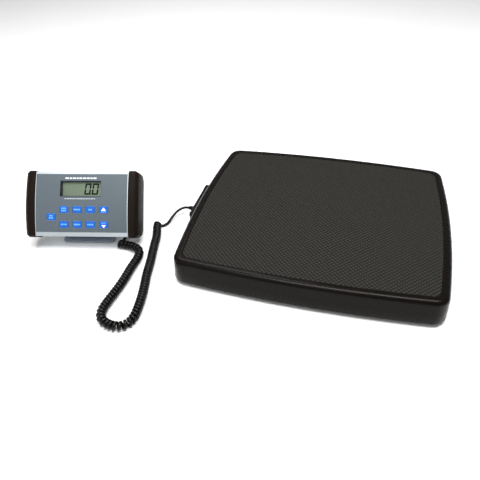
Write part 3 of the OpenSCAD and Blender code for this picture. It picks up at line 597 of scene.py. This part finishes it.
def helix(route):
    """Closely wound turns round the route. Begins and ends at a turn's lowest point."""
    axis = softened(through(route, 0.25), 60)
    run = along(axis)
    keep = (run >= COIL_START) & (run <= run[-1] - COIL_STOP)
    axis, run = axis[keep], run[keep]
    heading = np.gradient(axis, axis=0)
    heading /= np.linalg.norm(heading, axis=1)[:, None]
    bend = np.linalg.norm(np.gradient(heading, run, axis=0), axis=1)
    uneven = TURN_GAP + sum(share * np.sin(run / wave + lead) for share, wave, lead in WANDER)
    pitch = 2 * CORD_R * uneven / (1 - COIL_R * np.clip(bend, 0, MAX_BEND))
    turns = np.concatenate([[0], np.cumsum(np.diff(run) / (0.5 * (pitch[1:] + pitch[:-1])))])
    turns *= math.floor(turns[-1]) / turns[-1]
    count = int(round(turns[-1])) * HELIX_POINTS
    at = np.linspace(0, turns[-1], count + 1)
    centre = np.column_stack([np.interp(at, turns, axis[:, k]) for k in range(3)])
    t = np.column_stack([np.interp(at, turns, heading[:, k]) for k in range(3)])
    t /= np.linalg.norm(t, axis=1)[:, None]
    side = np.cross(t, [0, 0, 1.0])
    angle = 2 * math.pi * at
    lift = np.array([0, 0, 1.0])
    return centre + COIL_R * (np.sin(angle)[:, None] * side - np.cos(angle)[:, None] * lift)


turns = helix(COIL_ROUTE)
split = int(np.argmin(np.linalg.norm(turns[:, :2] - np.array(U_TURN), axis=1)))


def lead_to(route, coil_points):
    """The straight lead and the coil's first points, joined without a kink."""
    first, second = coil_points[0], coil_points[1]
    toward = (second - first) / np.linalg.norm(second - first)
    ends = [first - toward * 2 * CORD_R, first]
    lead = softened(through(list(route) + ends, 1.2), 3)
    lead[:, 2] = np.maximum(lead[:, 2], CORD_R)
    return lead[:-1]


platform_lead = lead_to(PLATFORM_LEAD, turns)
display_lead = lead_to(DISPLAY_LEAD, turns[::-1])


def add_cord(name, points, replaced):
    v, f = tube(np.asarray(points) * MM, CORD_R * MM, 10)
    obj = new_piece(name, v, f, MATERIALS["cord_pvc"], 60)
    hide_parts(*replaced)
    return obj


cord_platform = add_cord("curly_cord_platform_half", np.vstack([platform_lead, turns[:split + 1]]),
                         ["cord_lead_platform", "cord_coil"])
cord_display = add_cord("curly_cord_display_half", turns[split:], ["cord_coil"])
cord_lead = add_cord("display_lead", np.vstack([display_lead, turns[-1:]]),
                     ["cord_lead_display"])
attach(cord_platform, "platform")
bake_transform(cord_display)
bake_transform(cord_lead)


# ---------------------------------------------------------------- platform

# Millimetres, as in the CAD
PLATFORM_W, PLATFORM_D, PLATFORM_H = 360.0, 316.0, 41.0
SIDE_BOW, END_BOW, CORNER_R = 9.8, 9.2, 19.5
FOOT_GAP, RIM_R, DRAFT, WALL = 6.0, 6.6, 1.3, 2.8
MAT_INSET, RECESS_Z, MAT_TOP, INNER_CORNER_R = 12.5, 38.8, 40.6, 11.0


def arc(centre, r, start, stop, steps):
    a = np.linspace(start, stop, steps + 1)
    return np.column_stack([centre[0] + r * np.cos(a), centre[1] + r * np.sin(a)])


def outline(inset, side_steps=10, corner_steps=12, end_steps=10):
    """The platform's outline, four bowed sides joined by corner arcs, drawn in by inset."""
    side_r = ((PLATFORM_D / 2) ** 2 + SIDE_BOW ** 2) / (2 * SIDE_BOW)
    end_r = ((PLATFORM_W / 2) ** 2 + END_BOW ** 2) / (2 * END_BOW)
    side_centre = np.array([PLATFORM_W / 2 - side_r, 0])
    end_centre = np.array([0, PLATFORM_D / 2 - end_r])
    r = max(CORNER_R - inset, INNER_CORNER_R)
    ra, rb = end_r - inset - r, side_r - inset - r
    gap = side_centre - end_centre
    d = np.linalg.norm(gap)
    u = gap / d
    run = (ra * ra - rb * rb + d * d) / (2 * d)
    c = end_centre + u * run - np.array([-u[1], u[0]]) * math.sqrt(ra * ra - run * run)
    low = math.atan2(*(c - side_centre)[::-1])
    high = math.atan2(*(c - end_centre)[::-1])
    q = np.vstack([arc(side_centre, side_r - inset, 0, low, side_steps),
                   arc(c, r, low, high, corner_steps)[1:],
                   arc(end_centre, end_r - inset, high, math.pi / 2, end_steps)[1:]])
    back = q[-2::-1] * [-1, 1]
    return np.vstack([q, back, q[1:] * [-1, -1], q[-2:0:-1] * [1, -1]])


def ring(inset, z):
    """The outline at a height, as points in metres."""
    flat = outline(inset)
    return on_platform(np.column_stack([flat, np.full(len(flat), z)]))


def make_cover():
    """The moulded cover, one skin from inside its wall, over the rounded rim, into the recess."""
    rim = [(DRAFT + RIM_R * (1 - math.cos(a)), PLATFORM_H - RIM_R * (1 - math.sin(a)))
           for a in np.linspace(0, math.pi / 2, 13)]
    profile = [(DRAFT + WALL + RIM_R / 2, RECESS_Z - 3), (WALL, FOOT_GAP), (0.9, FOOT_GAP),
               (0.25, FOOT_GAP + 0.25), (0, FOOT_GAP + 0.9), (DRAFT * 0.5, 20.2)]
    profile += rim
    profile += [(MAT_INSET - 0.8, PLATFORM_H), (MAT_INSET - 0.35, 40.94), (MAT_INSET - 0.1, 40.75)]
    profile += [(MAT_INSET, 40.45), (MAT_INSET, RECESS_Z)]
    v, f = loft([ring(i, z) for i, z in profile])
    obj = new_piece("cover_shell", v, f, MATERIALS["black_abs"], 40)
    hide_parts("platform_cover")
    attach(obj, "platform")


RIB_PITCH, RIB_DEPTH = 4.3, 0.9


def make_mat():
    """The mat: a field of small pyramids set at 45 degrees, cut to the outline, on a thin slab."""
    half = int((PLATFORM_W + PLATFORM_D) / 2 / RIB_PITCH / math.sqrt(2)) + 3
    cell = RIB_PITCH * math.sqrt(0.5)
    bm = bmesh.new()
    corner = {}

    def point(i, j, z):
        key = (i, j)
        if key not in corner:
            corner[key] = bm.verts.new(on_platform(((i - j) * cell, (i + j) * cell, z)).tolist())
        return corner[key]

    edge = outline(MAT_INSET + 0.4, 5, 7, 5)
    reach = np.abs(edge).max(0) + RIB_PITCH
    for i in range(-half, half):
        for j in range(-half, half):
            x, y = (i - j) * cell, (i + j + 1) * cell
            if abs(x) > reach[0] or abs(y) > reach[1]:
                continue
            top = bm.verts.new(on_platform((x, y, MAT_TOP)).tolist())
            around = [point(*k, MAT_TOP - RIB_DEPTH)
                      for k in ((i, j), (i + 1, j), (i + 1, j + 1), (i, j + 1))]
            for k in range(4):
                bm.faces.new((around[k], around[(k + 1) % 4], top))
    for a, b in zip(edge, np.roll(edge, -1, axis=0)):
        along_edge = b - a
        outward = Vector((along_edge[1], -along_edge[0], 0)).normalized()
        at = Vector((PLATFORM_AT[0] + a[0] * MM, PLATFORM_AT[1] + a[1] * MM, 0))
        bmesh.ops.bisect_plane(bm, geom=bm.verts[:] + bm.edges[:] + bm.faces[:], dist=1e-7, plane_co=at,
                               plane_no=outward, clear_outer=True)
    rim = [e for e in bm.edges if e.is_boundary]
    grown = bmesh.ops.extrude_edge_only(bm, edges=rim)
    low = [v for v in grown["geom"] if isinstance(v, bmesh.types.BMVert)]
    for v in low:
        v.co.z = RECESS_Z * MM
    bottom = [e for e in bm.edges if e.is_boundary]
    bmesh.ops.contextual_create(bm, geom=bottom)
    bmesh.ops.recalc_face_normals(bm, faces=bm.faces)
    mesh = bpy.data.meshes.new("ribbed_mat")
    bm.to_mesh(mesh)
    bm.free()
    mesh.materials.append(MATERIALS["mat_rubber"])
    obj = bpy.data.objects.new("ribbed_mat", mesh)
    scene.collection.objects.link(obj)
    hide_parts("platform_mat")
    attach(obj, "platform")


# Metres
FOOT_R, FOOT_GROOVE_R, FOOT_TOP, STUD_R = 0.015, 0.0144, 0.009, 0.004
FOOT_RIBS, FOOT_RIB_STEP = 3, 0.0022


def make_foot(node):
    """Rubber foot with a hollowed tread and a ribbed wall, on its stud."""
    low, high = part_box(node)
    at = ((low.x + high.x) / 2, (low.y + high.y) / 2, 0)
    profile = [(0.0006, ON_AXIS), (0.0006, 0.006), (0, 0.0066), (0, 0.0128), (0.0003, 0.0134),
               (0.0016, 0.0142)]
    for k in range(FOOT_RIBS):
        z = FOOT_RIB_STEP + k * FOOT_RIB_STEP
        profile += [(z, FOOT_R), (z + 0.0014, FOOT_R), (z + 0.0016, FOOT_GROOVE_R),
                    (z + 0.002, FOOT_GROOVE_R)]
    profile += [(FOOT_TOP, 0.0138), (FOOT_TOP, STUD_R), (high.z, STUD_R), (high.z, ON_AXIS)]
    v, f = lathe(profile, at, (0, 0, 1), 56)
    obj = new_piece("rubber_" + node, v, f, MATERIALS["black_rubber"], 30)
    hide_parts(node)
    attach(obj, node)


# Millimetres: a strain relief's radius at its root and at its tip, and its grooves
BOOT_ROOT, BOOT_TIP = 4.0, 2.7
BOOT_GROOVES, GROOVE_DEPTH = 4, 0.55


def make_boot(name, node, at, axis, length, body):
    """Tapered strain relief with flexing grooves."""
    profile = [(-0.0005, ON_AXIS), (-0.0005, BOOT_ROOT * MM), (0.0006, BOOT_ROOT * MM)]
    spaces = BOOT_GROOVES + 0.4
    for k in range(BOOT_GROOVES):
        for share, cut in ((0.0, 0), (0.12, GROOVE_DEPTH), (0.42, GROOVE_DEPTH), (0.54, 0)):
            s = (k + 0.5) / spaces + share / spaces
            profile.append((length * MM * s, (BOOT_ROOT + (BOOT_TIP - BOOT_ROOT) * s - cut) * MM))
    profile += [(length * MM - 0.0004, BOOT_TIP * MM), (length * MM, (BOOT_TIP - 0.3) * MM),
                (length * MM, ON_AXIS)]
    v, f = lathe(profile, at, axis, 40)
    obj = new_piece(name, v, f, MATERIALS["cord_pvc"], 30)
    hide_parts(node)
    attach(obj, body)


make_cover()
make_mat()
for foot in ("foot_fl", "foot_fr", "foot_rl", "foot_rr"):
    make_foot(foot)
make_boot("platform_boot", "platform_strain_relief", (-0.075, 0.002, 0.013), (-1, 0, 0), 9, "platform")


# ---------------------------------------------------------------- display

# Millimetres, in the display's axes, as in the CAD
HEAD_W, HEAD_H, HEAD_D, BULGE = 133.0, 92.0, 34.0, 3.5
REAR_R, EDGE_R, GASKET = 12.0, 2.5, 0.8
CAP_T, CAP_LIP, CAP_BEVEL, CAP_BOW = 13.0, 1.5, 4.5, 0.9
OVERLAY = 0.5
FRONT_R = ((HEAD_H / 2) ** 2 + BULGE ** 2) / (2 * BULGE)
FRONT_CENTRE = FRONT_R - BULGE
WINDOW_W, WINDOW_H, WINDOW_X, WINDOW_Z = 58.6, 21.8, -1.2, 21.5
KEY_W, KEY_H, KEY_X, KEY_Z, KEY_PITCH_X, KEY_PITCH_Z = 12.7, 9.8, 4.0, -18.7, 19.1, 21.0
POWER_X = -43.0
GLASS_Y = 3.0
BRACKET_FACE = 38.05
GLAND_X, GLAND_Z = 57, -20


def front_y(z, out):
    """Depth of the convex front at a height, with out above its surface."""
    return FRONT_CENTRE - np.sqrt((FRONT_R + out) ** 2 - np.square(z))


def cap_outline(out):
    """The end cap's outline in depth and height, grown by out."""
    z, r, f, y = HEAD_H / 2 + out, max(REAR_R + out, 1), max(EDGE_R + out, 0.6), HEAD_D + out
    lean = math.asin((z - f) / (FRONT_R + out))
    low_y = front_y(z - f, out)
    pts = np.vstack([arc((y - r, -z + r), r, -math.pi / 2, 0, 12),
                     arc((y - r, z - r), r, 0, math.pi / 2, 12)])
    top = [(low_y + f * (1 - math.cos(a)), z - f * (1 - math.sin(a)))
           for a in np.linspace(math.pi / 2, 0, 7)]
    front = arc((FRONT_CENTRE, 0), FRONT_R + out, math.pi - lean, math.pi + lean, 28)[1:-1]
    bottom = [(p[0], -p[1]) for p in top[::-1]]
    return np.vstack([pts, top, front, bottom])


def make_cap(side):
    """An end cap: side is -1 for the left one and 1 for the right one."""
    name = "left" if side < 0 else "right"
    x0 = HEAD_W / 2 + GASKET
    slope = CAP_BEVEL * 0.8
    stations = [(0, CAP_LIP - 0.5), (0.5, CAP_LIP), (CAP_T - CAP_BEVEL - 0.5, CAP_LIP),
                (CAP_T - CAP_BEVEL + 0.2, CAP_LIP - 0.12), (CAP_T - CAP_BEVEL + 0.9, CAP_LIP - 0.62),
                (CAP_T - 0.75, CAP_LIP - slope + 0.42), (CAP_T - 0.2, CAP_LIP - slope - 0.1),
                (CAP_T, CAP_LIP - slope - 0.75)]
    rings = []
    for x, out in stations:
        flat = cap_outline(out)
        bow = CAP_BOW * min(x / CAP_T, 1) * (1 - np.square(flat[:, 1] / (HEAD_H / 2 + CAP_LIP)))
        rings.append(on_head(np.column_stack([side * (x0 + x + bow), flat])))
    v, f = loft(rings)
    obj = new_piece("cap_" + name, v, f, MATERIALS["cap_abs"], 24)
    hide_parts("end_cap_" + name)
    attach(obj, "display_head")


def rounded(w, h, r, steps=6):
    """Outline of a rounded rectangle about the origin."""
    pts = []
    for sx, sz, a in ((1, 1, 0), (-1, 1, 90), (-1, -1, 180), (1, -1, 270)):
        centre = (sx * (w / 2 - r), sz * (h / 2 - r))
        pts.append(arc(centre, r, math.radians(a), math.radians(a + 90), steps))
    return np.vstack(pts)


def on_front(flat, out):
    """Points of the front panel, given across and up, at a height above the housing's front."""
    flat = np.asarray(flat, float)
    return on_head(np.column_stack([flat[:, 0], front_y(flat[:, 1], out), flat[:, 1]]))


def patch(flat, low, high):
    """A thin printed or embossed shape on the front panel."""
    return loft([on_front(flat, low), on_front(flat, high)])


def bar(x0, x1, z0, z1, low, high, r):
    """One rounded bar of print."""
    w, h = x1 - x0, z1 - z0
    flat = rounded(w, h, min(r, w / 2.01, h / 2.01), 2) + [(x0 + x1) / 2, (z0 + z1) / 2]
    return patch(flat, low, high)


def dashes(left, widths, gap, z0, z1, low, high, r):
    """Bars in a row, from left."""
    row = []
    for w in widths:
        row.append(bar(left, left + w, z0, z1, low, high, r))
        left += w + gap
    return row


KEYS = {"key_power": (POWER_X, KEY_Z)}
for row, names in ((0.5, ("key_units", "key_hold", "key_zero", "key_up")),
                   (-0.5, ("key_recall", "key_clear", "key_enter", "key_down"))):
    for column, key_name in enumerate(names):
        KEYS[key_name] = (KEY_X + (column - 1.5) * KEY_PITCH_X, KEY_Z + row * KEY_PITCH_Z)
KEY_PROUD = 0.5
# Print sinks into its surface and stands proud of it by so much, on the keys and on the panel
KEY_SINK, KEY_LIFT, PANEL_PRINT = 0.02, 0.03, 0.02
DASH_GAP, DASH_HALF_H, DASH_R = 0.45, 0.95, 0.35
TICK_W, TICK_GAP, TICK_HALF_H, TICK_R = 2.0, 0.4, 0.5, 0.15
# Legends are rows of short dashes: (height above the key's middle, dash widths). The arrow keys
# have a triangle with a row of ticks instead
LEGENDS = {
    "key_power": [(1.6, (2.1, 2.0)), (-1.6, (1.7, 1.9, 1.6))],
    "key_units": [(1.6, (1.9, 2.3, 1.8)), (-1.6, (2.2, 1.6, 2.0))],
    "key_hold": [(0, (2.0, 2.2, 1.6, 1.9))],
    "key_zero": [(0, (2.0, 2.3))],
    "key_recall": [(0, (1.8, 1.6, 2.2, 1.7))],
    "key_clear": [(0, (2.2, 1.8, 2.1, 1.6))],
    "key_enter": [(0, (1.7, 2.1, 1.6, 1.9))],
}


def make_key(name, x, z):
    """A pillowed key that follows the panel's curve. Its profile is (inset, lift)."""
    profile = [(0, -0.8), (0, 0.1), (0.08, 0.3), (0.3, 0.42), (0.75, 0.47), (1.6, KEY_PROUD),
               (3.4, KEY_PROUD)]
    rings = []
    for inset, lift in profile:
        flat = rounded(KEY_W - 2 * inset, KEY_H - 2 * inset, max(1.3 - inset * 0.3, 0.4)) + [x, z]
        rings.append(on_front(flat, OVERLAY + lift))
    v, f = loft(rings)
    obj = new_piece(name + "_pad", v, f, MATERIALS["key_blue"], 50)
    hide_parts(name)
    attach(obj, name)
    low, high = OVERLAY + KEY_PROUD - KEY_SINK, OVERLAY + KEY_PROUD + KEY_LIFT
    marks = []
    for dz, widths in LEGENDS.get(name, []):
        total = sum(widths) + DASH_GAP * (len(widths) - 1)
        marks += dashes(x - total / 2, widths, DASH_GAP, z + dz - DASH_HALF_H, z + dz + DASH_HALF_H,
                        low, high, DASH_R)
    shade_of = legend_pale
    if name in ("key_up", "key_down"):
        point = 1 if name == "key_up" else -1
        foot, width = (-1.6, 3.6) if point > 0 else (-0.4, 3.1)
        flat = np.array([(-width, foot), (width, foot), (0, foot + 1.35 * width * point)])
        flat[:, 1] += z
        flat[:, 0] += x
        marks.append(patch(flat, low, high))
        shade_of = legend_white
        tick_z = z - 3.1 if point > 0 else z + 2.4
        tick = dashes(x - 1.5 * TICK_W - TICK_GAP, (TICK_W,) * 3, TICK_GAP, tick_z - TICK_HALF_H,
                      tick_z + TICK_HALF_H, low, high, TICK_R)
        v, f = joined(tick)
        small = new_piece(name + "_tick", v, f, legend_pale, 50)
        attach(small, name)
    v, f = joined(marks)
    legend = new_piece(name + "_legend", v, f, shade_of, 50)
    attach(legend, name)


def panel_print():
    """Plain bars where the panel is printed, and the window's dark border."""
    low, high = OVERLAY - PANEL_PRINT, OVERLAY + PANEL_PRINT
    top_line = WINDOW_Z + WINDOW_H / 2
    bottom_line = WINDOW_Z - WINDOW_H / 2
    left = WINDOW_X - 22.5
    white = dashes(left, (5.2, 3.6, 4.4, 3.0, 4.2, 5.0, 3.8, 3.2, 4.6), 1.0,
                   top_line + 3.0, top_line + 5.0, low, high, 0.5)
    white += dashes(left, (2.6, 3.4, 2.2, 3.0, 2.0, 2.8, 3.4, 2.2, 2.8, 2.4, 3.0, 2.0), 1.1,
                    bottom_line - 3.9, bottom_line - 3.1, low, high, 0.2)
    v, f = joined(white)
    obj = new_piece("panel_bars", v, f, print_white, 50)
    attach(obj, "display_head")
    outer = rounded(WINDOW_W + 1.6, WINDOW_H + 1.6, 0.8, 3)
    inner = rounded(WINDOW_W, WINDOW_H, 0.05, 3)
    shift = np.array([WINDOW_X, WINDOW_Z])
    rings = [on_front(inner + shift, low), on_front(outer + shift, low), on_front(outer + shift, high),
             on_front(inner + shift, high)]
    v, f = loft(rings, caps=False)
    n = len(inner)
    f += [(k, (k + 1) % n, 3 * n + (k + 1) % n, 3 * n + k) for k in range(n)]
    obj = new_piece("window_border", v, f, print_dark, 50)
    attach(obj, "display_head")


DIGIT_W, DIGIT_H, DIGIT_BAR, SLANT = 9.0, 16.0, 2.2, math.tan(math.radians(8))
# From the window's middle: the two digits, and the point between them
DIGITS_X, POINT_X, POINT_HALF = (8.6, 19.4), 14.0, 0.7


def make_digits():
    """Two noughts with a point between, from leaning seven-segment bars with mitred ends."""
    y0, y1 = GLASS_Y - 0.15, GLASS_Y - 0.01
    gap = 0.16
    b, w, h = DIGIT_BAR, DIGIT_W, DIGIT_H
    level = [(-w / 2 + gap, 0), (-w / 2 + b / 2, b / 2), (w / 2 - b / 2, b / 2), (w / 2 - gap, 0),
             (w / 2 - b * 0.9, -b / 2), (-w / 2 + b * 0.9, -b / 2)]
    side = [(0, gap), (-b / 2, b / 2), (-b / 2, h / 2 - b / 2), (0, h / 2 - gap),
            (b / 2, h / 2 - b * 0.9), (b / 2, b * 0.6)]
    shapes = []
    for cx in (WINDOW_X + digit_x for digit_x in DIGITS_X):
        for sz in (-1, 1):
            shapes.append([(cx + px, WINDOW_Z + sz * (h / 2 - b / 2 + pz)) for px, pz in level])
            for sx in (-1, 1):
                shapes.append([(cx + sx * (w / 2 - b / 2 - px), WINDOW_Z + sz * pz) for px, pz in side])
    shapes.append([(WINDOW_X + POINT_X + sx * POINT_HALF, WINDOW_Z - h / 2 + POINT_HALF + sz * POINT_HALF)
                   for sx, sz in ((-1, -1), (1, -1), (1, 1), (-1, 1))])
    parts = []
    for shape in shapes:
        leaned = [(px + (pz - WINDOW_Z) * SLANT, pz) for px, pz in shape]
        parts.append(loft([on_head([(px, y, pz) for px, pz in leaned]) for y in (y0, y1)]))
    v, f = joined(parts)
    obj = new_piece("liquid_crystal_digits", v, f, MATERIALS["lcd_ink"], 50)
    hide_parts("lcd_segments")
    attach(obj, "display_head")


# Metres: head radius and height, socket radius, shank radius and length
SCREW_R, SCREW_H, SOCKET_R, SHANK_R, SHANK_L = 0.0045, 0.003, 0.0018, 0.0025, 0.018


def button_head(at, axis):
    """A button-head screw with a round socket, and its shank behind it."""
    r, h, socket = SCREW_R, SCREW_H, SOCKET_R
    profile = [(-SHANK_L, ON_AXIS), (-SHANK_L, SHANK_R), (0, SHANK_R)]
    profile += [(0, r * 0.96), (0.0003, r), (h * 0.35, r * 0.98), (h * 0.75, r * 0.84), (h, r * 0.6),
                (h, socket), (h * 0.35, socket * 0.96), (h * 0.3, ON_AXIS)]
    return lathe(profile, at, axis, 36)


def make_pivot_screws():
    """The two screws that the display turns on, one in each ear of the bracket."""
    parts = []
    for sx in (-1, 1):
        at = on_head([(sx * BRACKET_FACE, PIVOT_Y, -PIVOT_LOW)])[0]
        parts.append(button_head(at, ACROSS * sx))
    v, f = joined(parts)
    obj = new_piece("pivot_button_heads", v, f, MATERIALS["screw_steel"], 30)
    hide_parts("pivot_screws")
    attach(obj, "display_head")


for cap_side in (-1, 1):
    make_cap(cap_side)
for key_name, (key_x, key_z) in KEYS.items():
    make_key(key_name, key_x, key_z)
panel_print()
make_digits()
make_pivot_screws()
gland_base = on_head([(GLAND_X, HEAD_D, GLAND_Z)])[0]
make_boot("display_boot", "display_strain_relief", gland_base, BACK, 7, "display_head")


def plain_normals():
    """A node group that drops the stored normals, which a bevel would otherwise shade wrongly."""
    group = bpy.data.node_groups.new("plain_normals", "GeometryNodeTree")
    for direction in ("INPUT", "OUTPUT"):
        group.interface.new_socket("Geometry", in_out=direction, socket_type="NodeSocketGeometry")
    source = group.nodes.new("NodeGroupInput")
    drop = group.nodes.new("GeometryNodeRemoveAttribute")
    drop.inputs["Name"].default_value = "custom_normal"
    result = group.nodes.new("NodeGroupOutput")
    group.links.new(source.outputs[0], drop.inputs["Geometry"])
    group.links.new(drop.outputs["Geometry"], result.inputs[0])
    return group


PLAIN_NORMALS = plain_normals()
WELD_GAP, BEVEL_SEGMENTS, BEVEL_ANGLE = 2e-6, 3, math.radians(30)


def soften(node, width):
    """Rounds a CAD node's crisp edges with modifiers only; its mesh stays as packed."""
    obj = nodes[node]
    obj.modifiers.new("normals", "NODES").node_group = PLAIN_NORMALS
    weld = obj.modifiers.new("weld", "WELD")
    weld.merge_threshold = WELD_GAP
    bevel = obj.modifiers.new("bevel", "BEVEL")
    bevel.width, bevel.segments, bevel.limit_method = width, BEVEL_SEGMENTS, "ANGLE"
    bevel.angle_limit = BEVEL_ANGLE
    bevel.harden_normals = True


for node_name, edge in (("bracket", 0.0005), ("cable_exit_cover", 0.0009), ("pivot_lug", 0.0006),
                        ("battery_door", 0.0002)):
    soften(node_name, edge)


# ---------------------------------------------------------------- stage


# Metres
FLOOR_HALF, FLOOR_Z = 6, -0.0003
# Place, target, size and watts
LIGHTS = {
    "key_light": ((-0.5, 0.6, 1.5), (0, -0.05, 0), (1.1, 0.8), 15),
    "top_strip": ((0.25, -0.3, 1.35), (0.1, -0.1, 0), (1.2, 0.45), 24),
    "front_fill": ((-0.6, -1.4, 1.2), (-0.1, -0.05, 0), (1.6, 1.2), 4.5),
}
WORLD_STRENGTH = 0.38


def make_floor():
    s = Surface("floor")
    s.colour([0.93, 0.93, 0.93], vary=0.01, scale=3)
    s.set(Roughness=0.6, Specular_IOR_Level=0.2)
    v = [(sx * FLOOR_HALF, sy * FLOOR_HALF, FLOOR_Z) for sx, sy in ((-1, -1), (1, -1), (1, 1), (-1, 1))]
    obj = new_piece("floor", v, [(0, 1, 2, 3)], s.material, smooth=False)


def area_light(name, at, target, size, watts):
    data = bpy.data.lights.new(name, "AREA")
    data.shape, data.size, data.size_y = "RECTANGLE", size[0], size[1]
    data.energy = watts
    obj = bpy.data.objects.new(name, data)
    scene.collection.objects.link(obj)
    obj.location = at
    obj.rotation_euler = (Vector(target) - Vector(at)).to_track_quat("-Z", "Y").to_euler()


make_floor()
for light_name, light_settings in LIGHTS.items():
    area_light(light_name, *light_settings)
world = bpy.data.worlds.new("studio")
world.use_nodes = True
world.node_tree.nodes["Background"].inputs["Color"].default_value = (1, 1, 1, 1)
world.node_tree.nodes["Background"].inputs["Strength"].default_value = WORLD_STRENGTH
scene.world = world
scene.view_settings.view_transform = "Standard"
